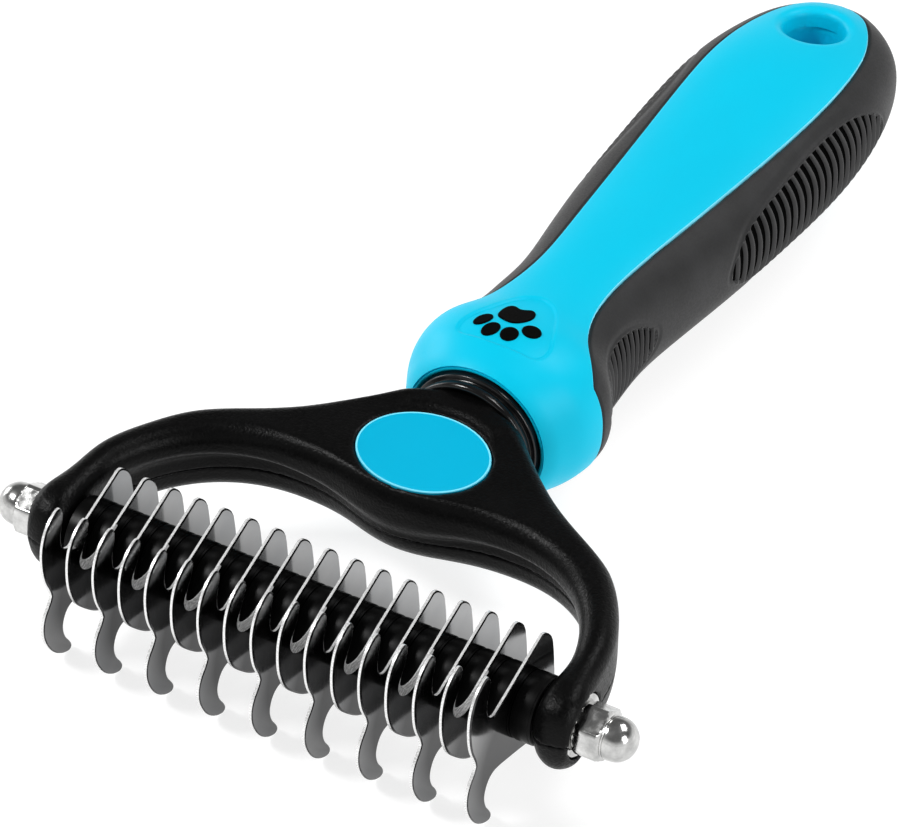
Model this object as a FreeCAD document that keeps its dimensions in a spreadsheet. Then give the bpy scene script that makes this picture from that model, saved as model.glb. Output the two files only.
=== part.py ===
import FreeCAD, Part
import Sketcher
import math
import os
from FreeCAD import Placement, Rotation, Vector

# Deshedding tool: a stack of steel plates clamped on an axle rod between the arms of a two-shell
# plastic yoke, on a hard handle core with a soft grip moulded round it.
#
# Working axes: X along the axle rod, Y from the plates to the end of the handle, Z up (badge side).
# Shapes are drawn from the centre of the axle rod; each object's Placement then moves it into the
# part's frame, whose origin lies under the middle of the whole tool, on the plane it lies on.

doc = FreeCAD.newDocument("deshedding_tool")
sheet = doc.addObject("Spreadsheet::Sheet", "Dims")

DIMENSIONS = [
    ("origin_back", 71.08, "frame origin, behind the axle"),
    ("origin_up", 13.35, "height of the axle over the base plane"),
    ("blade_pitch", 4.156, "plate to plate along the axle"),
    ("blade_thick", 0.6, "steel plate thickness"),
    ("plate_bore", 2.05, "radius of the hole in plates and spacers"),
    ("rod_radius", 2.0, "axle rod, M4"),
    ("rod_length", 93.2, "axle rod, end to end"),
    ("spacer_radius", 4.95, "spacer between plates"),
    ("spacer_width", 3.556, "pitch less one plate"),
    ("end_spacer_width", 3.15, "from the outer plate to the arm"),
    ("arm_inside", 36.85, "inner face of an arm's boss"),
    ("arm_outside", 43.2, "outer face of an arm's boss"),
    ("boss_radius", 6.7, "boss round the axle"),
    ("shell_bore", 2.08, "radius of the rod hole in the shells"),
    ("seat_radius", 4.75, "counterbore for washer and nut"),
    ("seat_depth", 2.0, "counterbore depth"),
    ("washer_radius", 4.5, "M4 washer"),
    ("washer_thick", 0.76, "M4 washer"),
    ("washer_bore", 2.07, "M4 washer, slides on the rod"),
    ("nut_flats", 7.0, "M4 acorn nut, across flats"),
    ("nut_hex", 3.2, "M4 acorn nut, hexagon height"),
    ("nut_length", 8.0, "M4 acorn nut, overall height"),
    ("nut_dome_radius", 3.25, "M4 acorn nut, dome"),
    ("nut_bore", 2.06, "M4 acorn nut, bore on the rod"),
    ("nut_bore_depth", 5.6, "M4 acorn nut, blind bore"),
    ("wall_rise", 5.0, "top of the yoke's side wall over the axle"),
    ("rim_base", 4.0, "underside of the yoke's overhanging rim"),
    ("yoke_reach", 15.0, "height that clears the yoke's highest point"),
    ("neck_height", 2.7, "neck axis over the axle"),
    ("neck_radius", 8.9, "yoke's round neck"),
    ("neck_front", 36.0, "neck starts inside the yoke's body"),
    ("neck_back", 46.6, "end of the neck in the collar"),
    ("socket_radius", 5.6, "socket in the neck"),
    ("socket_front", 33.5, "bottom of the socket"),
    ("tang_radius", 5.5, "handle's tang in the socket"),
    ("tang_front", 34.0, "front of the tang"),
    ("ring_bore", 8.95, "neck ring on the neck"),
    ("ring_radius", 10.1, "neck ring, widest step"),
    ("ring_front", 41.05, "neck ring, front face"),
    ("ring_back", 46.6, "neck ring, back face"),
    ("mouth_radius", 10.35, "mouth of the collar"),
    ("mouth_front", 43.6, "front edge of the collar"),
    ("mouth_back", 47.0, "floor of the collar's mouth"),
    ("collar_back", 53.1, "end of the hard collar, start of the grip"),
    ("panel_floor", 9.0, "underside of the hard top panel"),
    ("spine_radius", 6.2, "hard core inside the grip"),
    ("spine_height", 5.0, "core axis over the axle"),
    ("spine_back", 139.5, "end of the core"),
    ("hole_back", 144.6, "hanging hole behind the axle"),
    ("hole_radius", 4.8, "hanging hole"),
    ("hole_wall", 2.2, "hard lining round the hanging hole"),
    ("hole_dish", 0.8, "dished rim round the hole"),
    ("hole_rim", 14.95, "top surface over the axle at the hole"),
    ("badge_long", 10.0, "badge half width along X"),
    ("badge_short", 7.8, "badge half width along Y"),
    ("badge_back", 29.2, "badge centre behind the axle"),
    ("badge_height", 9.15, "badge face over the axle"),
    ("badge_thick", 1.0, "badge inlay"),
    ("badge_tilt", 5.5, "badge face tilt, degrees"),
    ("badge_gap", 0.1, "gap round the badge"),
    ("paw_back", 55.0, "paw recess behind the axle"),
    ("paw_height", 15.3, "floor of the paw recess over the axle"),
    ("paw_tilt", -5.5, "slope of the panel at the paw, degrees"),
    ("paw_thick", 1.0, "paw inlay"),
    ("paw_proud", 0.15, "paw inlay over the recess floor"),
    ("rib_depth", 0.7, "depth of the ribbed ovals"),
]
for row, (alias, value, note) in enumerate(DIMENSIONS, start=1):
    sheet.set(f"A{row}", note)
    sheet.set(f"B{row}", str(value))
    sheet.setAlias(f"B{row}", alias)
doc.recompute()

BLADE_COUNT = 17
MIDDLE_BLADE = (BLADE_COUNT - 1) // 2
FRONT_FACING = 1
BACK_FACING = -1


def dim(alias):
    """Value of one driving dimension, in millimetres or degrees."""
    return float(sheet.get(alias))


def place(obj, along_x="0", along_y="0", along_z="0"):
    """Bind an object's Placement so that axle-centred coordinates land in the part's frame."""
    obj.setExpression("Placement.Base.x", along_x)
    obj.setExpression("Placement.Base.y", f"({along_y}) - Dims.origin_back")
    obj.setExpression("Placement.Base.z", f"({along_z}) + Dims.origin_up")


def new_body(label):
    """Empty body named after its node."""
    body = doc.addObject("PartDesign::Body", label)
    body.Label = label
    return body


def origin_feature(body, role):
    """One of the body's own origin planes or axes."""
    return next(f for f in body.Origin.OriginFeatures if f.Role == role)


def new_sketch(body, role, name, offset=0.0, offset_from=None):
    """Sketch on one of the body's origin planes, moved along the plane's normal."""
    sketch = body.newObject("Sketcher::SketchObject", name)
    sketch.AttachmentSupport = [(origin_feature(body, role), "")]
    sketch.MapMode = "FlatFace"
    sketch.AttachmentOffset = Placement(Vector(0, 0, offset), Rotation())
    if offset_from:
        sketch.setExpression("AttachmentOffset.Base.z", offset_from)
    return sketch


def draw_runs(sketch, runs):
    """Closed outline: each run is a straight line (2 points) or a smooth curve (3 or more)."""
    for run in runs:
        points = [Vector(u, v, 0) for u, v in run]
        if len(points) == 2:
            sketch.addGeometry(Part.LineSegment(points[0], points[1]), False)
        else:
            curve = Part.BSplineCurve()
            curve.interpolate(points)
            sketch.addGeometry(curve, False)


def draw_closed_curve(sketch, points):
    """Smooth closed curve through the points."""
    curve = Part.BSplineCurve()
    curve.interpolate([Vector(u, v, 0) for u, v in points], PeriodicFlag=True)
    sketch.addGeometry(curve, False)


def draw_circle(sketch, u, v, radius_alias):
    """Circle whose radius is bound to the sheet."""
    index = sketch.addGeometry(
        Part.Circle(Vector(u, v, 0), Vector(0, 0, 1), dim(radius_alias)), False
    )
    constraint = sketch.addConstraint(Sketcher.Constraint("Radius", index, dim(radius_alias)))
    sketch.setExpression(f"Constraints[{constraint}]", f"Dims.{radius_alias}")


def pad(body, sketch, name, length_from, symmetric=False, reverse=False):
    """Pad bound to an expression."""
    feature = body.newObject("PartDesign::Pad", name)
    feature.Profile = sketch
    feature.SideType = "Symmetric" if symmetric else "One side"
    feature.Reversed = reverse
    feature.setExpression("Length", length_from)
    return feature


def pocket(body, sketch, name, length_from, symmetric=False, reverse=False):
    """Pocket bound to an expression, checked to have removed material."""
    doc.recompute()
    before = body.Shape.Volume
    feature = body.newObject("PartDesign::Pocket", name)
    feature.Profile = sketch
    feature.SideType = "Symmetric" if symmetric else "One side"
    feature.Reversed = reverse
    feature.setExpression("Length", length_from)
    doc.recompute()
    if body.Shape.Volume > before - 0.01:
        raise RuntimeError(f"{body.Label}.{name} removed nothing")
    return feature


def turn_solid(body, sketch, name, axis_role):
    """Full revolution of a profile about one of the body's own axes."""
    feature = body.newObject("PartDesign::Revolution", name)
    feature.Profile = sketch
    feature.ReferenceAxis = (origin_feature(body, axis_role), [""])
    feature.Angle = 360
    return feature


def closed_polygon(corners):
    """Straight runs round a list of corners."""
    return [[corners[k], corners[(k + 1) % len(corners)]] for k in range(len(corners))]


def mirror_back(points):
    """The same points on the other side of the middle plane, in reverse order."""
    return [(-u, v) for u, v in reversed(points)]


# ---- Steel plates -------------------------------------------------------------------------------
# Profiles in (Y, Z) round the axle. Both kinds share the upper tooth, the round hub and the front
# prong; every second plate carries a long hook under the prong.

TOOTH_TIP = [(2.9, 8.95), (3.6, 9.2), (4.4, 9.0), (5.3, 8.3), (6.1, 7.3), (6.6, 6.2)]
TOOTH_BACK = [(6.6, 6.2), (7.0, 3.8), (7.2, 1.8)]
HUB_BACK = [(7.2, 1.8), (7.3, -1.2), (5.3, -5.1), (3.2, -6.6), (0.6, -7.2)]
PRONG_TIP = [(-11.6, 12.2), (-10.9, 12.25), (-10.3, 11.8), (-10.0, 11.1)]

HOOK_THROAT = [
    (0.6, -7.2), (-2.5, -6.5), (-5.0, -6.0), (-7.2, -5.6), (-8.8, -5.6), (-9.8, -6.1),
    (-10.5, -7.1), (-10.8, -8.3), (-10.6, -9.6), (-10.1, -10.7), (-9.4, -11.7), (-9.0, -12.4),
]
HOOK_TIP = [(-9.0, -12.4), (-8.9, -12.9), (-9.3, -13.3), (-9.9, -13.25), (-11.0, -12.8)]
HOOK_OUTSIDE = [
    (-11.0, -12.8), (-12.3, -11.9), (-13.5, -10.7), (-14.5, -9.2), (-15.2, -7.6),
    (-15.45, -6.0), (-15.25, -4.6), (-14.5, -3.2), (-13.6, -2.1), (-13.2, -1.3),
]
HOOK_PRONG_OUTSIDE = [
    (-13.2, -1.3), (-13.5, -0.3), (-14.3, 1.4), (-14.9, 3.2), (-15.2, 5.2), (-15.2, 7.2),
    (-14.8, 9.0), (-14.0, 10.5), (-12.8, 11.6), (-11.6, 12.2),
]
HOOK_NOTCH = [
    (-10.0, 11.1), (-10.1, 10.0), (-10.5, 8.6), (-10.7, 7.2), (-10.6, 6.0), (-10.2, 5.1),
    (-9.5, 4.5), (-8.6, 4.3),
]
COMB_BELLY = [
    (0.6, -7.2), (-3.0, -7.0), (-5.5, -6.6), (-7.5, -5.8), (-9.0, -4.9), (-10.5, -3.7),
    (-12.2, -2.1), (-13.5, -0.6), (-14.4, 1.2),
]
COMB_PRONG_OUTSIDE = [
    (-14.4, 1.2), (-15.0, 3.1), (-15.25, 5.2), (-15.2, 7.2), (-14.8, 9.0), (-14.0, 10.5),
    (-12.8, 11.6), (-11.6, 12.2),
]
COMB_NOTCH = [
    (-10.0, 11.1), (-10.4, 9.6), (-11.1, 8.2), (-11.7, 6.9), (-11.75, 6.2), (-11.3, 5.5),
    (-10.4, 5.0), (-9.2, 4.75), (-7.8, 4.9), (-6.2, 5.35),
]

HOOK_PLATE = [
    TOOTH_TIP, TOOTH_BACK, HUB_BACK, HOOK_THROAT, HOOK_TIP, HOOK_OUTSIDE, HOOK_PRONG_OUTSIDE,
    PRONG_TIP, HOOK_NOTCH, [HOOK_NOTCH[-1], TOOTH_TIP[0]],
]
COMB_PLATE = [
    TOOTH_TIP, TOOTH_BACK, HUB_BACK, COMB_BELLY, COMB_PRONG_OUTSIDE, PRONG_TIP, COMB_NOTCH,
    [COMB_NOTCH[-1], TOOTH_TIP[0]],
]


def make_plate(label, steps_from_middle, runs):
    """One stamped plate, centred on its station along the axle."""
    body = new_body(label)
    outline = new_sketch(body, "YZ_Plane", label + "_outline")
    draw_runs(outline, runs)
    draw_circle(outline, 0, 0, "plate_bore")
    pad(body, outline, label + "_plate", "Dims.blade_thick", symmetric=True)
    place(body, f"{steps_from_middle} * Dims.blade_pitch")
    return body


def make_ring(label, radius_alias, bore_alias, width_from, centre_from):
    """Plain ring on the axle, with its edges broken."""
    body = new_body(label)
    circles = new_sketch(body, "YZ_Plane", label + "_circles")
    draw_circle(circles, 0, 0, radius_alias)
    draw_circle(circles, 0, 0, bore_alias)
    pad(body, circles, label + "_ring", width_from, symmetric=True)
    place(body, centre_from)
    return body


sub_parts = []
hook_number = 0
comb_number = 0
for index in range(BLADE_COUNT):
    steps = index - MIDDLE_BLADE
    if index % 2 == 0:
        hook_number += 1
        sub_parts.append(make_plate(f"hook_blade_{hook_number}", steps, HOOK_PLATE))
    else:
        comb_number += 1
        sub_parts.append(make_plate(f"comb_blade_{comb_number}", steps, COMB_PLATE))

for index in range(BLADE_COUNT - 1):
    steps = index - MIDDLE_BLADE + 0.5
    sub_parts.append(
        make_ring(
            f"spacer_{index + 1:02d}", "spacer_radius", "plate_bore", "Dims.spacer_width",
            f"{steps} * Dims.blade_pitch",
        )
    )

END_SPACER_CENTRE = (
    f"({MIDDLE_BLADE} * Dims.blade_pitch + Dims.blade_thick / 2 + Dims.end_spacer_width / 2)"
)
for side, sign in (("left", "-1"), ("right", "1")):
    sub_parts.append(
        make_ring(
            f"end_spacer_{side}", "spacer_radius", "plate_bore", "Dims.end_spacer_width",
            f"{sign} * {END_SPACER_CENTRE}",
        )
    )

# ---- Axle rod, washers and acorn nuts -----------------------------------------------------------

rod = new_body("axle_rod")
rod_profile = new_sketch(rod, "XY_Plane", "axle_rod_profile")
ROD_END = dim("rod_length") / 2
ROD_CHAMFER = 0.4
rod_corners = [
    (-ROD_END, 0.0),
    (-ROD_END, dim("rod_radius") - ROD_CHAMFER),
    (-ROD_END + ROD_CHAMFER, dim("rod_radius")),
    (ROD_END - ROD_CHAMFER, dim("rod_radius")),
    (ROD_END, dim("rod_radius") - ROD_CHAMFER),
    (ROD_END, 0.0),
]
draw_runs(rod_profile, closed_polygon(rod_corners))
turn_solid(rod, rod_profile, "axle_rod_turn", "X_Axis")
place(rod)
sub_parts.append(rod)

NUT_SEAT = "(Dims.arm_outside - Dims.seat_depth + 0.8)"
WASHER_CENTRE = "(Dims.arm_outside - Dims.seat_depth + 0.4)"
for side, sign in (("left", "-1"), ("right", "1")):
    sub_parts.append(
        make_ring(
            f"washer_{side}", "washer_radius", "washer_bore", "Dims.washer_thick",
            f"{sign} * {WASHER_CENTRE}",
        )
    )


def make_acorn_nut(label, sign):
    """Domed cap nut: hexagon base, round dome, blind bore. Its seat is at the body's origin."""
    body = new_body(label)
    flats = dim("nut_flats")
    corner = flats / math.sqrt(3.0)
    hexagon = new_sketch(body, "YZ_Plane", label + "_hexagon")
    corners = [
        (corner * math.cos(math.radians(60 * k + 30)), corner * math.sin(math.radians(60 * k + 30)))
        for k in range(6)
    ]
    draw_runs(hexagon, closed_polygon(corners))
    pad(body, hexagon, label + "_base", "Dims.nut_hex")

    dome = new_sketch(body, "XY_Plane", label + "_dome_profile")
    base = dim("nut_hex")
    radius = dim("nut_dome_radius")
    top = dim("nut_length")
    shoulder = top - radius
    bend = math.sqrt(0.5) * radius
    draw_runs(dome, [[(base - 0.5, 0), (base - 0.5, radius)], [(base - 0.5, radius), (shoulder, radius)]])
    dome.addGeometry(
        Part.Arc(Vector(shoulder, radius, 0), Vector(shoulder + bend, bend, 0), Vector(top, 0, 0)), False
    )
    draw_runs(dome, [[(top, 0), (base - 0.5, 0)]])
    turn_solid(body, dome, label + "_dome", "X_Axis")

    doc.recompute()
    before = body.Shape.Volume
    corner_cut = new_sketch(body, "XY_Plane", label + "_corner_profile")
    reach = corner + 0.3
    relief = (reach - 0.96 * flats / 2) * math.tan(math.radians(30))
    draw_runs(
        corner_cut,
        [
            [(base + 0.01, 0.96 * flats / 2), (base + 0.01, reach)],
            [(base + 0.01, reach), (base - relief, reach)],
            [(base - relief, reach), (base + 0.01, 0.96 * flats / 2)],
        ],
    )
    groove = body.newObject("PartDesign::Groove", label + "_corners")
    groove.Profile = corner_cut
    groove.ReferenceAxis = (origin_feature(body, "X_Axis"), [""])
    groove.Angle = 360
    doc.recompute()
    if body.Shape.Volume > before - 0.01:
        raise RuntimeError(f"{label}: corner chamfer removed nothing")

    bore = new_sketch(body, "YZ_Plane", label + "_bore_circle")
    draw_circle(bore, 0, 0, "nut_bore")
    pocket(body, bore, label + "_bore", "Dims.nut_bore_depth", reverse=True)
    place(body, f"{sign} * {NUT_SEAT}")
    if sign < 0:
        body.Placement = Placement(body.Placement.Base, Rotation(Vector(0, 0, 1), 180))
    return body


sub_parts.append(make_acorn_nut("acorn_nut_left", -1))
sub_parts.append(make_acorn_nut("acorn_nut_right", 1))

# ---- Yoke: two shells that meet at the axle's height --------------------------------------------
# Plan outlines in (X, Y), right half only. The rim overhangs the inner wall.

OUTSIDE_HALF = [
    (10.4, 41.0), (11.8, 39.2), (14.5, 36.1), (19.3, 31.4), (25.3, 27.4), (33.0, 22.6),
    (37.9, 16.6), (40.9, 9.8), (42.0, 3.8), (42.7, 0.4), (43.0, -3.0), (42.6, -5.6),
]
ARM_FRONT = [(42.6, -5.6), (40.6, -6.9), (38.2, -6.7), (36.95, -5.0)]
RIM_INSIDE_HALF = [
    (36.95, -5.0), (36.95, 1.0), (36.9, 5.0), (35.75, 9.3), (33.8, 13.0), (30.0, 17.3),
    (25.0, 20.3), (20.0, 21.7), (16.5, 22.0), (10.0, 21.6), (5.0, 20.7), (0.0, 20.4),
]
WALL_INSIDE_HALF = [
    (36.95, -5.0), (37.0, 1.0), (37.3, 5.0), (36.6, 9.3), (35.0, 13.5), (31.5, 18.4),
    (26.5, 22.3), (21.0, 24.2), (16.5, 24.5), (11.0, 23.8), (5.0, 21.8), (0.0, 21.0),
]
# Side profiles in (Y, Z): where the yoke's top and bottom surfaces run.
BOSS = dim("boss_radius")
TOP_FRONT = [(-BOSS, 0.0), (-0.87 * BOSS, 0.5 * BOSS), (-0.5 * BOSS, 0.87 * BOSS), (0.0, BOSS)]
TOP_RUN = [
    (0.0, BOSS), (5.0, 7.0), (9.3, 7.65), (17.0, 8.0), (21.0, 8.36), (25.0, 8.75), (29.0, 9.13),
    (33.0, 9.52), (37.0, 9.95), (41.0, 10.9), (47.0, 12.2),
]
BOTTOM_FRONT = [(u, -v) for u, v in TOP_FRONT]
BOTTOM_RUN = [
    (0.0, -BOSS), (4.0, -6.1), (8.0, -4.9), (13.0, -4.25), (20.0, -4.1), (28.0, -4.5),
    (35.0, -5.2), (41.0, -5.7), (47.0, -6.0),
]
PROFILE_END = 47.0
PROFILE_FRONT = -12.0


def plan_runs(inside_half):
    """Closed plan outline of the whole yoke from its right half."""
    return [
        OUTSIDE_HALF,
        ARM_FRONT,
        inside_half + mirror_back(inside_half)[1:],
        mirror_back(ARM_FRONT),
        mirror_back(OUTSIDE_HALF),
        [(-OUTSIDE_HALF[0][0], OUTSIDE_HALF[0][1]), OUTSIDE_HALF[0]],
    ]


def add_neck(body, label, above):
    """Half of the round neck on one side of the parting plane."""
    radius = dim("neck_radius")
    height = dim("neck_height")
    half_chord = math.sqrt(radius**2 - height**2)
    far_point = height + radius if above else height - radius
    section = new_sketch(body, "XZ_Plane", label + "_neck_section", offset_from="-Dims.neck_back")
    section.addGeometry(
        Part.Arc(Vector(half_chord, 0, 0), Vector(0, far_point, 0), Vector(-half_chord, 0, 0)), False
    )
    draw_runs(section, [[(-half_chord, 0), (half_chord, 0)]])
    pad(body, section, label + "_neck", "Dims.neck_back - Dims.neck_front")


def cut_yoke_holes(body, label):
    """Rod bore, nut seats and the socket for the handle's tang, cut in either shell."""
    bore = new_sketch(body, "YZ_Plane", label + "_bore_circle")
    draw_circle(bore, 0, 0, "shell_bore")
    pocket(body, bore, label + "_bore", "2 * Dims.arm_outside + 10", symmetric=True)
    for side, sign in (("left", -1), ("right", 1)):
        seat = new_sketch(
            body, "YZ_Plane", f"{label}_seat_{side}",
            offset_from=f"{sign} * (Dims.arm_outside - Dims.seat_depth)",
        )
        draw_circle(seat, 0, 0, "seat_radius")
        pocket(body, seat, f"{label}_seat_cut_{side}", "Dims.seat_depth + 3", reverse=sign > 0)
    socket = new_sketch(body, "XZ_Plane", label + "_socket_circle", offset_from="-Dims.neck_back")
    draw_circle(socket, 0, dim("neck_height"), "socket_radius")
    pocket(body, socket, label + "_socket", "Dims.neck_back - Dims.socket_front", reverse=True)


upper = new_body("yoke_upper_shell")
upper_wall = new_sketch(upper, "XY_Plane", "upper_wall_plan")
draw_runs(upper_wall, plan_runs(WALL_INSIDE_HALF))
pad(upper, upper_wall, "upper_wall", "Dims.wall_rise")
upper_rim = new_sketch(upper, "XY_Plane", "upper_rim_plan", offset_from="Dims.rim_base")
draw_runs(upper_rim, plan_runs(RIM_INSIDE_HALF))
pad(upper, upper_rim, "upper_rim", "Dims.yoke_reach - Dims.rim_base")
upper_profile = new_sketch(upper, "YZ_Plane", "upper_side_profile")
draw_runs(
    upper_profile,
    [
        TOP_FRONT,
        TOP_RUN,
        [TOP_RUN[-1], (PROFILE_END, 20.0)],
        [(PROFILE_END, 20.0), (PROFILE_FRONT, 20.0)],
        [(PROFILE_FRONT, 20.0), (PROFILE_FRONT, 0.0)],
        [(PROFILE_FRONT, 0.0), TOP_FRONT[0]],
    ],
)
pocket(upper, upper_profile, "upper_top_surface", "4 * Dims.arm_outside", symmetric=True)
add_neck(upper, "upper", above=True)
cut_yoke_holes(upper, "upper")
badge_tilt = Rotation(Vector(1, 0, 0), dim("badge_tilt"))
badge_floor = badge_tilt.multVec(Vector(0, 0, -dim("badge_thick")))
badge_seat = new_sketch(upper, "XY_Plane", "badge_seat_plan")
badge_seat.AttachmentOffset = Placement(
    Vector(0, dim("badge_back"), dim("badge_height")) + badge_floor, badge_tilt
)
seat_oval = Part.Ellipse(
    Vector(0, 0, 0), dim("badge_long") + dim("badge_gap"), dim("badge_short") + dim("badge_gap")
)
badge_seat.addGeometry(seat_oval, False)
pocket(upper, badge_seat, "badge_seat", "Dims.badge_thick + 3", reverse=True)
place(upper)
sub_parts.append(upper)

lower = new_body("yoke_lower_shell")
lower_wall = new_sketch(lower, "XY_Plane", "lower_wall_plan")
draw_runs(lower_wall, plan_runs(WALL_INSIDE_HALF))
pad(lower, lower_wall, "lower_wall", "Dims.yoke_reach", reverse=True)
lower_profile = new_sketch(lower, "YZ_Plane", "lower_side_profile")
draw_runs(
    lower_profile,
    [
        BOTTOM_FRONT,
        BOTTOM_RUN,
        [BOTTOM_RUN[-1], (PROFILE_END, -20.0)],
        [(PROFILE_END, -20.0), (PROFILE_FRONT, -20.0)],
        [(PROFILE_FRONT, -20.0), (PROFILE_FRONT, 0.0)],
        [(PROFILE_FRONT, 0.0), BOTTOM_FRONT[0]],
    ],
)
pocket(lower, lower_profile, "lower_bottom_surface", "4 * Dims.arm_outside", symmetric=True)
add_neck(lower, "lower", above=False)
cut_yoke_holes(lower, "lower")
place(lower)
sub_parts.append(lower)

# ---- Neck ring ----------------------------------------------------------------------------------

ring = new_body("neck_ring")
ring_profile = new_sketch(ring, "YZ_Plane", "neck_ring_profile")
ring_steps = [
    (dim("ring_front"), dim("ring_bore")),
    (dim("ring_front"), dim("ring_bore") + 0.35),
    (dim("ring_front") + 0.5, dim("ring_bore") + 0.7),
    (dim("ring_front") + 2.2, dim("ring_bore") + 0.7),
    (dim("ring_front") + 2.2, dim("ring_radius") - 0.1),
    (dim("ring_front") + 2.6, dim("ring_radius")),
    (dim("ring_back"), dim("ring_radius")),
    (dim("ring_back"), dim("ring_bore")),
]
draw_runs(ring_profile, closed_polygon(ring_steps))
turn_solid(ring, ring_profile, "neck_ring_turn", "Y_Axis")
place(ring, along_z="Dims.neck_height")
sub_parts.append(ring)

# ---- Badge --------------------------------------------------------------------------------------
# Oval inlay in a pocket of the yoke's upper shell. It is drawn about its own centre and tilted.


def make_oval(label, long_radius, short_radius, depth_from):
    """Oval plate whose top face is at the body's own XY plane."""
    body = new_body(label)
    outline = new_sketch(body, "XY_Plane", label + "_outline")
    oval = Part.Ellipse(Vector(0, 0, 0), long_radius, short_radius)
    outline.addGeometry(oval, False)
    pad(body, outline, label + "_plate", depth_from, reverse=True)
    return body


def tilt(obj, angle):
    """Tilt about X, keeping the bound position."""
    obj.Placement = Placement(obj.Placement.Base, Rotation(Vector(1, 0, 0), angle))


badge = make_oval("badge", dim("badge_long"), dim("badge_short"), "Dims.badge_thick")
place(badge, along_y="Dims.badge_back", along_z="Dims.badge_height")
tilt(badge, dim("badge_tilt"))
sub_parts.append(badge)

# ---- Handle -------------------------------------------------------------------------------------
# Cross-sections along the handle: distance behind the axle, half width, half height, centre height
# and squareness (2 is an ellipse; larger is boxier).

HANDLE_SECTIONS = [
    (43.6, 11.0, 11.0, 2.85, 2.0),
    (44.6, 12.0, 11.5, 2.95, 2.05),
    (46.4, 13.0, 12.0, 3.15, 2.1),
    (49.0, 14.3, 12.45, 3.4, 2.2),
    (52.0, 15.1, 12.6, 3.5, 2.2),
    (55.5, 14.6, 12.1, 3.6, 2.3),
    (60.0, 12.95, 11.35, 3.75, 2.4),
    (66.0, 11.75, 10.5, 4.05, 2.5),
    (73.0, 11.3, 10.1, 4.25, 2.5),
    (82.0, 12.3, 9.8, 4.5, 2.5),
    (95.3, 14.2, 9.55, 4.65, 2.5),
    (110.6, 15.5, 9.7, 4.75, 2.5),
    (122.9, 16.1, 9.95, 5.0, 2.5),
    (135.2, 15.6, 9.85, 5.55, 2.5),
    (144.4, 13.9, 9.1, 5.85, 2.4),
    (150.5, 11.4, 8.25, 5.95, 2.3),
    (154.6, 7.7, 6.55, 5.95, 2.2),
    (156.9, 4.4, 4.15, 5.95, 2.1),
    (157.6, 1.6, 1.55, 5.95, 2.0),
]
SECTION_POINTS = 16
SEAM_STEP = -2.5


def superellipse(half_width, half_height, centre, squareness):
    """Points round a rounded-box section in (X, Z)."""
    points = []
    for k in range(SECTION_POINTS):
        angle = 2 * math.pi * (k + SEAM_STEP) / SECTION_POINTS
        c = math.cos(angle)
        v = math.sin(angle)
        power = 2.0 / squareness
        points.append(
            (
                math.copysign(half_width * abs(c) ** power, c),
                centre + math.copysign(half_height * abs(v) ** power, v),
            )
        )
    return points


def make_handle_form(label, inset):
    """Loft of the handle's outer shape, optionally shrunk by an inset."""
    body = new_body(label)
    profiles = []
    for number, (back, wide, tall, centre, squareness) in enumerate(HANDLE_SECTIONS, start=1):
        if inset and tall - inset < 1.0:
            continue
        section = new_sketch(body, "XZ_Plane", f"{label}_section_{number}", offset=-back)
        draw_closed_curve(section, superellipse(wide - inset, tall - inset, centre, squareness))
        profiles.append(section)
    doc.recompute()
    loft = body.newObject("PartDesign::AdditiveLoft", label + "_loft")
    loft.Profile = profiles[0]
    loft.Sections = profiles[1:]
    loft.Ruled = False
    return body


def cylinder(label, radius_from, length_from, base, direction):
    """Part cylinder bound to the sheet; base holds expressions for its start point."""
    obj = doc.addObject("Part::Cylinder", label)
    obj.setExpression("Radius", radius_from)
    obj.setExpression("Height", length_from)
    obj.Placement = Placement(Vector(0, 0, 0), Rotation(Vector(0, 0, 1), direction))
    for axis, expression in zip("xyz", base):
        obj.setExpression(f"Placement.Base.{axis}", expression)
    return obj


def fuse(label, parts):
    """Union of several objects."""
    obj = doc.addObject("Part::MultiFuse", label)
    obj.Shapes = parts
    return obj


def boolean(kind, label, base, tool):
    """Part::Cut or Part::Common of two objects."""
    obj = doc.addObject(kind, label)
    obj.Base = base
    obj.Tool = tool
    return obj


ALONG_HANDLE = Vector(0, 1, 0)
UPWARD = Vector(0, 0, 1)

form = make_handle_form("handle_form", 0.0)
inner_form = make_handle_form("handle_inner_form", dim("rib_depth"))

collar_block = doc.addObject("Part::Box", "collar_block")
collar_block.Length = 60
collar_block.Height = 60
collar_block.setExpression("Width", "Dims.collar_back - 30")
collar_block.Placement = Placement(Vector(-30, 30, -30), Rotation())

# Top panel, right half of its plan outline: distance out from the middle plane, then back.
PANEL_EDGE = [
    (14.2, 52.2), (12.5, 54.6), (10.3, 57.4), (8.2, 61.2), (7.0, 65.7), (6.5, 71.6), (6.85, 79.4),
    (7.8, 89.8), (8.8, 100.7), (9.8, 111.7), (10.6, 122.0), (10.9, 129.4), (10.6, 136.7),
    (9.3, 143.8), (6.9, 149.3), (3.6, 153.0), (0.0, 154.3),
]
panel_block = new_body("panel_block")
panel_plan = new_sketch(panel_block, "XY_Plane", "panel_plan", offset_from="Dims.panel_floor")
draw_runs(
    panel_plan,
    [
        PANEL_EDGE + mirror_back(PANEL_EDGE)[1:],
        [(-PANEL_EDGE[0][0], PANEL_EDGE[0][1]), PANEL_EDGE[0]],
    ],
)
pad(panel_block, panel_plan, "panel_rise", "Dims.yoke_reach")

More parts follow.
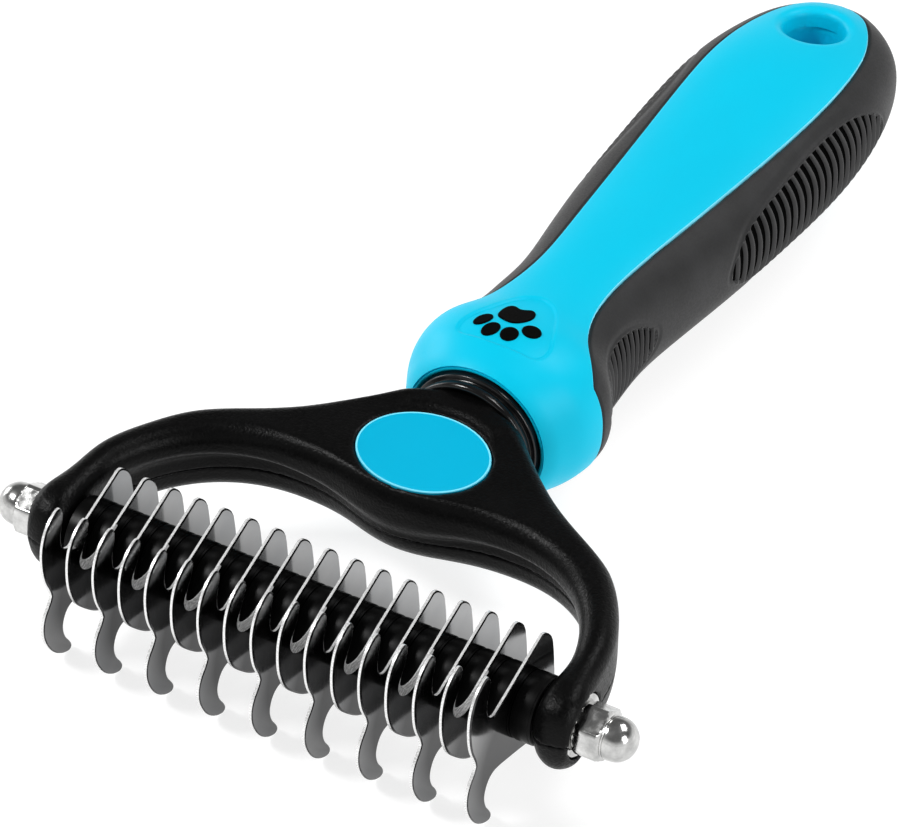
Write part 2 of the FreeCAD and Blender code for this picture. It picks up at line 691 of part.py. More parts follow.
spine = cylinder(
    "spine", "Dims.spine_radius", "Dims.spine_back - 50", ("0", "50", "Dims.spine_height"), ALONG_HANDLE
)
lining = cylinder(
    "hole_lining", "Dims.hole_radius + Dims.hole_wall", "60", ("0", "Dims.hole_back", "-30"), UPWARD
)
hard_region = fuse("hard_region", [collar_block, panel_block, spine, lining])
tang = cylinder(
    "tang", "Dims.tang_radius", "Dims.mouth_back - Dims.tang_front + 3",
    ("0", "Dims.tang_front", "Dims.neck_height"), ALONG_HANDLE,
)
mouth = cylinder(
    "mouth", "Dims.mouth_radius", "Dims.mouth_back - 35", ("0", "35", "Dims.neck_height"), ALONG_HANDLE
)
hole = cylinder("hole", "Dims.hole_radius", "60", ("0", "Dims.hole_back", "-30"), UPWARD)

dish = doc.addObject("Part::Cone", "hole_dish")
dish.setExpression("Radius1", "Dims.hole_radius")
dish.setExpression("Radius2", "Dims.hole_radius + 2 * Dims.hole_dish")
dish.setExpression("Height", "2 * Dims.hole_dish")
dish.setExpression("Placement.Base.y", "Dims.hole_back")
dish.setExpression("Placement.Base.z", "Dims.hole_rim - Dims.hole_dish")

# Shallow rounded-triangle recess for the paw inlay.
RECESS = [
    (0.0, 7.1), (2.4, 6.1), (4.6, 2.9), (6.4, -1.1), (7.3, -4.0), (6.6, -5.9), (3.9, -6.6),
    (0.0, -6.8), (-3.9, -6.6), (-6.6, -5.9), (-7.3, -4.0), (-6.4, -1.1), (-4.6, 2.9), (-2.4, 6.1),
]
recess = new_body("paw_recess")
recess_plan = new_sketch(recess, "XY_Plane", "paw_recess_plan")
draw_closed_curve(recess_plan, RECESS)
pad(recess, recess_plan, "paw_recess_rise", "5")
recess.Placement = Placement(
    Vector(0, dim("paw_back"), dim("paw_height")), Rotation(Vector(1, 0, 0), dim("paw_tilt"))
)

# Paw: a broad pad behind four toes, symmetric about the middle plane.
PAW_PAD = [
    (0.0, 2.1), (1.2, 2.6), (2.2, 2.3), (2.7, 1.2), (2.5, -0.2), (1.5, -1.4), (0.0, -1.8),
    (-1.5, -1.4), (-2.5, -0.2), (-2.7, 1.2), (-2.2, 2.3), (-1.2, 2.6),
]
# Toes: across, back, lean of the long axis in degrees.
PAW_TOES = [(-3.85, -2.75, -58.0), (-1.5, -4.3, -30.0), (1.5, -4.3, 30.0), (3.85, -2.75, 58.0)]
TOE_LONG = 1.6
TOE_SHORT = 1.25


def make_paw(label, height_from):
    """Pad and four toes, standing on the body's own XY plane."""
    body = new_body(label)
    body.AllowCompound = True
    plan = new_sketch(body, "XY_Plane", label + "_plan")
    draw_closed_curve(plan, PAW_PAD)
    for across, back, turn_angle in PAW_TOES:
        lean = math.radians(90 + turn_angle)
        middle = Vector(across, back, 0)
        long_end = middle + Vector(math.cos(lean), math.sin(lean), 0) * TOE_LONG
        short_end = middle + Vector(-math.sin(lean), math.cos(lean), 0) * TOE_SHORT
        plan.addGeometry(Part.Ellipse(long_end, short_end, middle), False)
    pad(body, plan, label + "_plate", height_from)
    return body


paw = make_paw("paw_inlay", "Dims.paw_thick + Dims.paw_proud")
paw_pocket = make_paw("paw_pocket", "Dims.paw_thick + 3")
paw_pocket.setExpression("Placement.Base.y", "Dims.paw_back")
paw_pocket.setExpression("Placement.Base.z", "Dims.paw_height - Dims.paw_thick")
tilt(paw_pocket, dim("paw_tilt"))


# Ribbed ovals on the grip's sides, outlines in (Y, Z) round the axle.
LONG_OVAL = [
    (93.0, 4.2), (95.3, 8.0), (101.0, 10.2), (110.0, 11.2), (119.0, 11.9), (126.0, 12.0), (132.0, 11.2),
    (136.6, 9.0), (139.6, 5.4), (140.2, 2.0), (137.0, -0.5), (130.0, -1.6), (120.0, -2.0), (110.0, -1.5),
    (101.0, -0.2), (95.5, 1.8),
]
SHORT_OVAL = [
    (56.8, 4.0), (57.9, 7.2), (60.6, 9.0), (65.0, 9.8), (69.5, 9.2), (73.4, 7.4), (76.0, 4.6),
    (75.0, 2.0), (71.5, 0.2), (66.5, -0.6), (61.5, -0.2), (58.2, 1.4),
]


def make_oval_block(label, points, sign):
    """Block through one ribbed oval, on one side of the handle."""
    body = new_body(label)
    sketch = new_sketch(body, "YZ_Plane", label + "_outline", offset=5.0 * sign)
    draw_closed_curve(sketch, points)
    pad(body, sketch, label + "_block", "30", reverse=sign < 0)
    return body


hard_body = boolean("Part::Common", "hard_body", form, hard_region)
hard_with_tang = fuse("hard_with_tang", [boolean("Part::Cut", "hard_hollow", hard_body, mouth), tang])
hard_holes = fuse("hard_holes", [hole, dish, recess, paw_pocket])
handle_core = boolean("Part::Cut", "handle_core", hard_with_tang, hard_holes)

handle_grip = boolean("Part::Cut", "soft_body", form, hard_region)
for oval_name, oval_points in (("long_oval", LONG_OVAL), ("short_oval", SHORT_OVAL)):
    for side, sign in (("left", -1), ("right", 1)):
        oval_block = make_oval_block(f"{oval_name}_{side}", oval_points, sign)
        oval_skin = boolean("Part::Cut", f"{oval_name}_{side}_skin", oval_block, inner_form)
        handle_grip = boolean("Part::Cut", f"grip_less_{oval_name}_{side}", handle_grip, oval_skin)
handle_grip.Label = "handle_grip"
for obj in (handle_core, handle_grip):
    place(obj)
    sub_parts.append(obj)
place(paw, along_y="Dims.paw_back", along_z="Dims.paw_height - Dims.paw_thick")
tilt(paw, dim("paw_tilt"))
sub_parts.append(paw)
doc.recompute()

# ---- Check and write ----------------------------------------------------------------------------

for obj in doc.Objects:
    if "Invalid" in obj.State or "Error" in obj.State:
        raise RuntimeError(f"{obj.Label} failed: {obj.State}")
for part in sub_parts:
    shape = part.Shape
    if shape.isNull() or not shape.isValid():
        raise RuntimeError(f"{part.Label} has no valid shape")
    box = shape.BoundBox
    print(
        part.Label, round(shape.Volume, 1), len(shape.Solids),
        [round(v, 2) for v in (box.XMin, box.YMin, box.ZMin, box.XMax, box.YMax, box.ZMax)],
    )

os.makedirs("parts", exist_ok=True)
for part in sub_parts:
    part.Shape.exportStep(f"parts/{part.Label}.step")
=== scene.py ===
import math

import bpy
import numpy as np
from mathutils import Matrix, Vector
from mathutils.geometry import delaunay_2d_cdt


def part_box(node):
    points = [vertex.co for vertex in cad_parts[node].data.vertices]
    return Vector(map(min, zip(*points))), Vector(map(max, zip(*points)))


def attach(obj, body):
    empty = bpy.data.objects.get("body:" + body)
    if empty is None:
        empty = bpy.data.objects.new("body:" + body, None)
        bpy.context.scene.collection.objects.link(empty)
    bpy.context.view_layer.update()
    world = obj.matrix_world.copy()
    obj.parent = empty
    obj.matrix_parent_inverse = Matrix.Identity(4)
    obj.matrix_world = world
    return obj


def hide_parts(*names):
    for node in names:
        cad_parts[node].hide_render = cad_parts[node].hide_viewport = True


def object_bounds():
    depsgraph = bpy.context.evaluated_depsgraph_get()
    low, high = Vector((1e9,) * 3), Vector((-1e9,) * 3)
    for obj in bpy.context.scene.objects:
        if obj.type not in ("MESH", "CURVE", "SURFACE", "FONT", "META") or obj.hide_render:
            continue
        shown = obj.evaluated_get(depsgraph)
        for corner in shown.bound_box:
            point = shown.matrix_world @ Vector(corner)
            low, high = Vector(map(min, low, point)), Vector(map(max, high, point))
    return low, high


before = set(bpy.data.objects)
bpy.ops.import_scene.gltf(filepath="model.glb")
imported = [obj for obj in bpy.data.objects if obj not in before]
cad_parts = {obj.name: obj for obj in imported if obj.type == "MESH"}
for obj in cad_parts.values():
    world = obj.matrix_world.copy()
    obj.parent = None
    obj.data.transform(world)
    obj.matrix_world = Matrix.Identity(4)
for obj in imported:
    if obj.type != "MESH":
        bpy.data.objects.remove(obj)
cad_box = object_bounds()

# Shapes below are drawn in millimetres round the middle of the axle: X along the axle, Y towards
# the end of the handle, Z up. in_frame() puts them into the frame's metres.

MM = 0.001
TURN = 2 * math.pi
rod_low, rod_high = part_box("axle_rod")
AXLE = np.array((rod_low + rod_high) / 2)
TOOL = "tool"


def in_frame(points):
    """Axle-centred millimetres to the frame's metres."""
    return np.asarray(points, float) * MM + AXLE


def span(node):
    """Lowest and highest corner of a CAD node, in axle-centred millimetres."""
    return [(np.array(corner) - AXLE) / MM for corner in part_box(node)]


# ---- Curves and distances


def spline(points, step=None, count=None):
    """Natural cubic spline through the points, sampled at most a step apart or so many a gap."""
    points = np.asarray(points, float)
    gaps = np.maximum(np.linalg.norm(np.diff(points, axis=0), axis=1), 1e-6)
    counts = [count or max(1, math.ceil(gap / step)) for gap in gaps]
    size = len(points)
    system = np.eye(size)
    right = np.zeros_like(points)
    for k in range(1, size - 1):
        before, after = gaps[k - 1], gaps[k]
        system[k, k - 1:k + 2] = before, 2 * (before + after), after
        right[k] = 6 * ((points[k + 1] - points[k]) / after - (points[k] - points[k - 1]) / before)
    bend = np.linalg.solve(system, right)
    samples = []
    for k in range(size - 1):
        t = np.linspace(0, 1, counts[k] + 1)[:-1, None]
        u = 1 - t
        samples.append(
            u * points[k] + t * points[k + 1]
            + gaps[k] ** 2 / 6 * ((u**3 - u) * bend[k] + (t**3 - t) * bend[k + 1])
        )
    samples.append(points[-1:])
    return np.vstack(samples), counts


def curve(points, **sampling):
    """Smooth open curve through the points, or a straight line between two."""
    return spline(points, **sampling)[0]


def outline(runs, step):
    """Closed outline of several runs, without repeated corners."""
    return np.vstack([curve(run, step=step)[:-1] for run in runs])


def closed_curve(points, step):
    """Smooth closed curve through the points, started a few points early to close smoothly."""
    points = np.asarray(points, float)
    wrap = 4
    samples, counts = spline(np.vstack([points[-wrap:], points, points[:wrap + 1]]), step=step)
    return samples[sum(counts[:wrap]):sum(counts[:wrap + len(points)])]


def mirror_back(points):
    """The same points on the other side of the middle plane, in reverse order."""
    return [(-u, v) for u, v in reversed(points)]


def ring_area(ring):
    """Twice the area inside a closed outline, negative where it runs clockwise."""
    after = np.roll(ring, -1, axis=0)
    return np.sum(ring[:, 0] * after[:, 1] - after[:, 0] * ring[:, 1])


def ring_inward(ring):
    """Unit normals of a closed outline that point into it."""
    tangent = np.roll(ring, -1, axis=0) - np.roll(ring, 1, axis=0)
    tangent /= np.linalg.norm(tangent, axis=1)[:, None]
    return np.column_stack([-tangent[:, 1], tangent[:, 0]]) * np.sign(ring_area(ring))


def ring_distance(u, v, ring):
    """Signed distance from points to a closed outline, negative inside."""
    best = np.full(u.shape, 1e9)
    inside = np.zeros(u.shape, bool)
    for (au, av), (bu, bv) in zip(ring, np.roll(ring, -1, axis=0)):
        eu, ev = bu - au, bv - av
        t = np.clip(((u - au) * eu + (v - av) * ev) / (eu * eu + ev * ev + 1e-12), 0, 1)
        np.minimum(best, (u - au - t * eu) ** 2 + (v - av - t * ev) ** 2, out=best)
        if av != bv:
            inside ^= ((av > v) != (bv > v)) & (u < (bu - au) * (v - av) / (bv - av) + au)
    return np.where(inside, -1.0, 1.0) * np.sqrt(best)


def smoothstep(low, high, value):
    """0 below low, 1 above high, smooth between."""
    t = np.clip((value - low) / (high - low), 0, 1)
    return t * t * (3 - 2 * t)


def round_both(a, b, radius):
    """Field of what is inside both a and b, with a rounded edge where they meet."""
    a, b = a + radius, b + radius
    return np.minimum(np.maximum(a, b), 0) + np.hypot(np.maximum(a, 0), np.maximum(b, 0)) - radius


def smooth_either(a, b, width):
    """Field of what is inside a or b, with a fillet where they meet."""
    h = np.clip(0.5 + 0.5 * (b - a) / width, 0, 1)
    return b * (1 - h) + a * h - width * h * (1 - h)


# ---- Mesh pieces


def make_piece(name, points, faces, finish, body, nodes, groups=None, slots_of_faces=None):
    """A shown mesh that stands for CAD nodes. Faces of different groups meet in a sharp edge."""
    mesh = bpy.data.meshes.new(name)
    mesh.from_pydata(in_frame(points).tolist(), [], [list(map(int, f)) for f in faces])
    mesh.polygons.foreach_set("use_smooth", np.ones(len(mesh.polygons), bool))
    if groups is not None:
        edge_of_loop = np.empty(len(mesh.loops), int)
        mesh.loops.foreach_get("edge_index", edge_of_loop)
        group_of_loop = np.repeat(groups, [len(face) for face in faces])
        low = np.full(len(mesh.edges), 1 << 30)
        high = np.full(len(mesh.edges), -1)
        np.minimum.at(low, edge_of_loop, group_of_loop)
        np.maximum.at(high, edge_of_loop, group_of_loop)
        mesh.edges.foreach_set("use_edge_sharp", low != high)
    for material in finish if isinstance(finish, list) else [finish]:
        mesh.materials.append(material)
    if slots_of_faces is not None:
        mesh.polygons.foreach_set("material_index", np.asarray(slots_of_faces, int))
    mesh.update()
    piece = bpy.data.objects.new(name, mesh)
    bpy.context.scene.collection.objects.link(piece)
    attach(piece, body)
    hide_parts(*nodes)
    return piece


def ring_faces(first, second):
    """Quads between two closed loops of the same length, given by their vertex numbers."""
    first, second = np.asarray(first), np.asarray(second)
    return np.column_stack([first, np.roll(first, -1), np.roll(second, -1), second])


def tube_faces(loops, around, closed=False):
    """Quads along a tube of so many loops; a closed tube's last loop meets its first."""
    number = np.arange(loops * around).reshape(loops, around)
    pairs = list(zip(number, np.roll(number, -1, axis=0)))
    return np.vstack([ring_faces(a, b) for a, b in (pairs if closed else pairs[:-1])])


def circle_angles(around):
    """Evenly spread angles of one turn."""
    return np.linspace(0, TURN, around, endpoint=False)


def circle(radius, around):
    """Points round a circle; the radius may be one for each point."""
    angles = circle_angles(around)
    return np.column_stack([radius * np.cos(angles), radius * np.sin(angles)])


def loops_about_x(stations, around):
    """A loop of points about the X axis for each (x, radius)."""
    return np.vstack([
        np.column_stack([np.full(around, x), circle(radius, around)]) for x, radius in stations
    ])


def turned(profile, around, corner_angle=25.0):
    """Solid of revolution about X from a closed (x, radius) profile: points, faces and groups."""
    profile = np.asarray(profile, float)
    along = np.roll(profile, -1, axis=0) - profile
    heading = np.arctan2(along[:, 1], along[:, 0])
    turn = abs((heading - np.roll(heading, 1) + math.pi) % TURN - math.pi)
    turn[0] = 0
    groups = np.repeat(np.cumsum(np.degrees(turn) > corner_angle), around).tolist()
    faces = tube_faces(len(profile), around, closed=True)
    return loops_about_x(profile, around), faces, groups


def turned_about_neck(profile, around, corner_angle=25.0):
    """Solid of revolution about the neck's axis from a closed (y, radius) profile."""
    points, faces, groups = turned(profile, around, corner_angle)
    return points[:, [1, 0, 2]] * [-1, 1, 1] + [0, 0, NECK_HEIGHT], faces, groups


def rounded(profile, radius, steps=3):
    """Closed (x, radius) profile with each corner replaced by a small arc."""
    profile = np.asarray(profile, float)
    result = []
    for k in range(len(profile)):
        before, here, after = profile[k - 1], profile[k], profile[(k + 1) % len(profile)]
        to_before, to_after = before - here, after - here
        reach = min(radius, 0.45 * np.linalg.norm(to_before), 0.45 * np.linalg.norm(to_after))
        start = here + to_before / np.linalg.norm(to_before) * reach
        end = here + to_after / np.linalg.norm(to_after) * reach
        for t in np.linspace(0, 1, steps + 1):
            result.append((1 - t) ** 2 * start + 2 * t * (1 - t) * here + t * t * end)
    return np.array(result)


# ---- Finishes


def feed(tree, node, inputs):
    """Set a node's inputs, by name or number: an output is linked, anything else is a value."""
    for key, value in inputs.items():
        if isinstance(value, bpy.types.NodeSocket):
            tree.links.new(value, node.inputs[key])
        else:
            node.inputs[key].default_value = value


def new_node(tree, kind, inputs, **settings):
    """A new shader node with its inputs and settings set."""
    node = tree.nodes.new("ShaderNode" + kind)
    for name, value in settings.items():
        setattr(node, name, value)
    feed(tree, node, inputs)
    return node


class Finish:
    """A procedural material, built node by node."""

    def __init__(self, name, **shader_values):
        self.material = bpy.data.materials.new(name)
        self.material.use_nodes = True
        self.tree = self.material.node_tree
        self.shader = self.tree.nodes["Principled BSDF"]
        self.set({socket.replace("_", " "): value for socket, value in shader_values.items()})
        self.place = self.node("TexCoord", {}).outputs["Object"]
        self.normal = None

    def set(self, inputs):
        """Set or link the shader's own inputs."""
        feed(self.tree, self.shader, inputs)

    def node(self, kind, inputs, **settings):
        """A new node of this material."""
        return new_node(self.tree, kind, inputs, **settings)

    def mapped(self, scale, turn=(0, 0, 0)):
        """Object coordinates, turned and stretched."""
        inputs = {"Vector": self.place, "Scale": scale, "Rotation": turn}
        return self.node("Mapping", inputs).outputs["Vector"]

    def noise(self, scale, detail=2.0, roughness=0.5, where=None):
        """Noise of so many features per metre."""
        return self.node("TexNoise", {
            "Vector": where or self.place, "Scale": scale, "Detail": detail,
            "Roughness": roughness,
        }).outputs["Fac"]

    def spread(self, value, low, high, out_low=0.0, out_high=1.0):
        """Range of a value stretched to another range."""
        return self.node("MapRange", {
            "Value": value, "From Min": low, "From Max": high, "To Min": out_low,
            "To Max": out_high,
        }).outputs["Result"]

    def product(self, a, b):
        """Product of two values."""
        return self.node("Math", {0: a, 1: b}, operation="MULTIPLY").outputs["Value"]

    def tint(self, amount, first, second):
        """Colour between two, by an amount from 0 to 1."""
        first, second = ((*c, 1.0) if isinstance(c, tuple) else c for c in (first, second))
        inputs = {0: amount, 6: first, 7: second}
        return self.node("Mix", inputs, data_type="RGBA").outputs[2]

    def mottled(self, value, first, second, low=0.35, high=0.7):
        """Colour between two, as a value goes through a range."""
        return self.tint(self.spread(value, low, high), first, second)

    def colour(self, output):
        """Base colour."""
        self.set({"Base Color": output})

    def rough(self, value, smooth, rough, low=0.3, high=0.7):
        """Roughness between two, as a value goes through a range."""
        self.set({"Roughness": self.spread(value, low, high, smooth, rough)})

    def bump(self, height, strength, distance):
        """Relief of so many millimetres, laid over any relief before it."""
        inputs = {"Height": height, "Strength": strength, "Distance": distance * MM}
        if self.normal is not None:
            inputs["Normal"] = self.normal
        self.normal = self.node("Bump", inputs).outputs["Normal"]
        self.set({"Normal": self.normal})

    def away_from(self, point, near, far):
        """0 within so many millimetres of a line along X through a point, 1 beyond the far one."""
        inputs = {0: self.place, 1: (0, 1, 1), 2: (0, -point[1], -point[2])}
        across = self.node("VectorMath", inputs, operation="MULTIPLY_ADD").outputs["Vector"]
        length = self.node("VectorMath", {0: across}, operation="LENGTH").outputs["Value"]
        return self.spread(length, near * MM, far * MM)

    def edges(self, low, high):
        """1 on convex edges, 0 elsewhere."""
        return self.spread(self.node("NewGeometry", {}).outputs["Pointiness"], low, high)


def steel_finish():
    """Polished stamped steel: darker round the hub as painted shade and reflection of the black
    spacers, with faint waviness and rolling marks.
    """
    f = Finish("polished_steel", Metallic=1.0)
    rubbed = f.noise(90, 3.0)
    dark = f.mottled(rubbed, (0.030, 0.030, 0.031), (0.052, 0.052, 0.053))
    light = f.mottled(rubbed, (0.26, 0.265, 0.27), (0.33, 0.33, 0.33))
    # darker within 7.5 to 15 mm of the hub: painted shade and reflection of the spacers between the
    # plates
    f.colour(f.tint(f.away_from(in_frame((0, -4, -5)), 7.5, 15.0), dark, light))
    fine = f.noise(2600, 2.0, where=f.mapped((1, 1, 0.08), (0.6, 0, 0)))
    f.rough(f.product(f.noise(240, 3.0), fine), 0.07, 0.16, 0.1, 0.5)
    f.bump(f.noise(70, 1.0), 0.12, 0.08)
    f.bump(fine, 0.08, 0.008)
    return f.material


def ground_highlight_finish():
    """Ground bevels: near-white and only half metallic as a painted highlight, with grinding marks
    across the edge.
    """
    f = Finish("ground_steel_painted_highlight", Metallic=0.45, Specular_IOR_Level=0.8)
    marks = f.noise(5200, 3.0, 0.6, where=f.mapped((1, 0.25, 1), (0.9, 0, 0)))
    f.colour(f.mottled(marks, (0.76, 0.76, 0.76), (0.88, 0.88, 0.875), 0.3))
    f.rough(marks, 0.22, 0.32)
    f.bump(marks, 0.05, 0.003)
    return f.material


def edge_shade_finish():
    """Dark line along a plate's narrow bevels: painted shade beside the bright edges."""
    f = Finish("steel_painted_edge_shade", Metallic=1.0)
    # near-black metal: painted shade along the narrow bevels
    f.colour(f.mottled(f.noise(700, 3.0), (0.035, 0.035, 0.036), (0.09, 0.09, 0.091)))
    rubbed = f.noise(1500, 2.0)
    f.rough(rubbed, 0.22, 0.34)
    f.bump(rubbed, 0.1, 0.005)
    return f.material


def zinc_finish():
    """Bright zinc plating, slightly pitted, with handling marks."""
    f = Finish("zinc_plated", Metallic=1.0)
    f.colour(f.mottled(f.noise(420, 4.0, 0.6), (0.42, 0.42, 0.415), (0.70, 0.70, 0.69)))
    f.rough(f.noise(900, 3.0), 0.10, 0.26, high=0.75)
    f.bump(f.spread(f.noise(1300, 4.0, 0.65), 0.42, 0.6), 0.10, 0.012)
    return f.material


def moulded_black():
    """Grained black moulding: fine spark texture, paler on convex edges as a painted highlight."""
    f = Finish("grained_black", Specular_IOR_Level=0.10)
    grain = f.noise(2600, 2.0, 0.6)
    body = f.mottled(f.noise(120, 3.0), (0.0010, 0.0010, 0.0010), (0.0020, 0.0020, 0.0021))
    # paler on convex edges: painted highlight on the rolled lips
    f.colour(f.tint(f.edges(0.52, 0.60), body, (0.010, 0.010, 0.0105)))
    f.rough(grain, 0.28, 0.44, 0.35, 0.65)
    f.bump(grain, 0.9, 0.09)
    f.bump(f.noise(160, 2.0), 0.15, 0.05)
    return f.material


def gloss_black():
    """Smooth black moulding with faint swirls."""
    f = Finish("smooth_black", Specular_IOR_Level=0.4)
    haze = f.noise(300, 3.0)
    f.colour(f.mottled(haze, (0.0025, 0.0025, 0.0027), (0.005, 0.005, 0.0052)))
    f.rough(haze, 0.12, 0.24)
    f.bump(f.noise(1500, 2.0, 0.6), 0.2, 0.008)
    return f.material


def spacer_black():
    """Black moulded spacers: satin, with fine turning marks."""
    f = Finish("satin_black", Specular_IOR_Level=0.12)
    marks = f.noise(2200, 2.0, where=f.mapped((1, 0.2, 0.2)))
    f.colour(f.mottled(f.noise(200, 3.0), (0.0010, 0.0010, 0.0010), (0.0024, 0.0024, 0.0024)))
    f.rough(marks, 0.30, 0.40)
    f.bump(marks, 0.12, 0.008)
    return f.material


def moulded_cyan(name, shade, deep, roughness):
    """Coloured moulding: satin, very fine grain and slight flow marks."""
    f = Finish(name, Specular_IOR_Level=0.12, Subsurface_Weight=0.06, Subsurface_Scale=0.002)
    f.set({"Subsurface Radius": (0.4, 0.8, 1.0)})
    flow = f.noise(45, 3.0, 0.55, where=f.mapped((1, 0.45, 1)))
    f.colour(f.mottled(flow, deep, shade, 0.3, 0.72))
    fine = f.noise(3600, 2.0, 0.6)
    f.rough(fine, roughness - 0.05, roughness + 0.07)
    f.bump(fine, 0.22, 0.018)
    f.bump(f.noise(130, 2.0), 0.12, 0.05)
    return f.material


def soft_grip(name, shade, deep, gloss):
    """Soft-touch black rubber with a dusty, finely grained skin, with so much gloss."""
    f = Finish(name, Specular_IOR_Level=gloss, Sheen_Weight=0.2 * gloss, Sheen_Roughness=0.45)
    f.colour(f.mottled(f.noise(160, 4.0, 0.6), deep, shade))
    grain = f.noise(3000, 2.0, 0.65)
    f.rough(grain, 0.46, 0.62)
    f.bump(grain, 0.3, 0.025)
    return f.material


STEEL = steel_finish()
GROUND_HIGHLIGHT = ground_highlight_finish()
EDGE_SHADE = edge_shade_finish()
ZINC = zinc_finish()
YOKE_BLACK = moulded_black()
GLOSS_BLACK = gloss_black()
SPACER_BLACK = spacer_black()
HANDLE_CYAN = moulded_cyan("handle_cyan_moulding", (0, 0.520, 0.735), (0, 0.490, 0.70), 0.40)
BADGE_CYAN = moulded_cyan("badge_cyan_moulding", (0, 0.396, 0.615), (0, 0.373, 0.585), 0.38)
# a paler copy of the cyan: painted highlight on the badge's rim and along the panel's edge
CYAN_EDGE_HIGHLIGHT = moulded_cyan("cyan_painted_edge_highlight", (0.22, 0.74, 0.92), (0.16, 0.68, 0.88), 0.30)
GRIP_BLACK = soft_grip("soft_grip_black", (0.021, 0.021, 0.022), (0.013, 0.013, 0.0135), 0.26)
# lighter copy of the grip's rubber: painted highlight on the ribs
RIB_HIGHLIGHT_BLACK = soft_grip("soft_rib_black_painted_highlight", (0.046, 0.046, 0.047), (0.034, 0.034, 0.035), 0.34)
# near-black copy of the rubber: painted shade in the grooves, and the paw inlay's own black
GROOVE_SHADE_AND_PAW_BLACK = soft_grip("groove_painted_shade_and_paw_black", (0.0016,) * 3, (0.0008,) * 3, 0.02)

# ---- Steel plates
# Profiles in (Y, Z). Each run comes with its bevel's widths, spread evenly from start to end.

TOOTH_TIP = [(2.9, 8.95), (3.6, 9.2), (4.4, 9), (5.3, 8.3), (6.1, 7.3), (6.6, 6.2)]
TOOTH_BACK = [(6.6, 6.2), (7, 3.8), (7.2, 1.8)]
HUB_BACK = [(7.2, 1.8), (7.3, -1.2), (5.3, -5.1), (3.2, -6.6), (0.6, -7.2)]
PRONG_TIP = [(-11.6, 12.2), (-10.9, 12.25), (-10.3, 11.8), (-10, 11.1)]
HOOK_THROAT = [
    (0.6, -7.2), (-2.5, -6.5), (-5, -6), (-7.2, -5.6), (-8.8, -5.6), (-9.8, -6.1),
    (-10.5, -7.1), (-10.8, -8.3), (-10.6, -9.6), (-10.1, -10.7), (-9.4, -11.7), (-9, -12.4),
]
HOOK_TIP = [(-9, -12.4), (-8.9, -12.9), (-9.3, -13.3), (-9.9, -13.25), (-11, -12.8)]
HOOK_OUTSIDE = [
    (-11, -12.8), (-12.3, -11.9), (-13.5, -10.7), (-14.5, -9.2), (-15.2, -7.6),
    (-15.45, -6), (-15.25, -4.6), (-14.5, -3.2), (-13.6, -2.1), (-13.2, -1.3),
]
HOOK_PRONG_OUTSIDE = [
    (-13.2, -1.3), (-13.5, -0.3), (-14.3, 1.4), (-14.9, 3.2), (-15.2, 5.2), (-15.2, 7.2),
    (-14.8, 9), (-14, 10.5), (-12.8, 11.6), (-11.6, 12.2),
]
HOOK_NOTCH = [
    (-10, 11.1), (-10.1, 10), (-10.5, 8.6), (-10.7, 7.2), (-10.6, 6), (-10.2, 5.1),
    (-9.5, 4.5), (-8.6, 4.3),
]
COMB_BELLY = [
    (0.6, -7.2), (-3, -7), (-5.5, -6.6), (-7.5, -5.8), (-9, -4.9), (-10.5, -3.7),
    (-12.2, -2.1), (-13.5, -0.6), (-14.4, 1.2),
]
COMB_PRONG_OUTSIDE = [(-14.4, 1.2), (-15, 3.1), (-15.25, 5.2), *HOOK_PRONG_OUTSIDE[-5:]]
COMB_NOTCH = [
    (-10, 11.1), (-10.4, 9.6), (-11.1, 8.2), (-11.7, 6.9), (-11.75, 6.2), (-11.3, 5.5),
    (-10.4, 5), (-9.2, 4.75), (-7.8, 4.9), (-6.2, 5.35),
]
THIN = 0.16
BACK_RUNS = [(TOOTH_TIP, (0.30, 0.22, THIN)), (TOOTH_BACK, (THIN,)), (HUB_BACK, (THIN,))]
PRONG_BEVEL, TIP_BEVEL = (0.22, 0.40, 0.36), (0.36, 0.30, 0.22)
HOOK_PLATE = [
    *BACK_RUNS, (HOOK_THROAT, (THIN,)), (HOOK_TIP, (THIN,)), (HOOK_OUTSIDE, (THIN, 0.2, 0.22)),
    (HOOK_PRONG_OUTSIDE, PRONG_BEVEL), (PRONG_TIP, TIP_BEVEL), (HOOK_NOTCH, (0.22, 0.25, 0.35)),
    ([HOOK_NOTCH[-1], TOOTH_TIP[0]], (0.35, 0.38, 0.30)),
]
COMB_PLATE = [
    *BACK_RUNS, (COMB_BELLY, (THIN, 0.2, 0.3)), (COMB_PRONG_OUTSIDE, PRONG_BEVEL),
    (PRONG_TIP, TIP_BEVEL),
    (COMB_NOTCH, (0.22, 0.22, 0.24, 0.3, 0.7, 1.25, 1.5, 1.45, 1.15, 0.8)),
    ([COMB_NOTCH[-1], TOOTH_TIP[0]], (0.8, 0.42, 0.38, 0.36, 0.30)),
]
PLATE_STEP = 0.3
PLATE_HALF = 0.3
PLATE_BORE, BORE_AROUND = 2.05, 48
# Bevels wider than this, and the rim, get the near-white painted highlight; narrower ones get the
# painted dark edge line.
WIDE_BEVEL = 0.42
FACE_SLOT, GROUND_HIGHLIGHT_SLOT, EDGE_SHADE_SLOT = range(3)


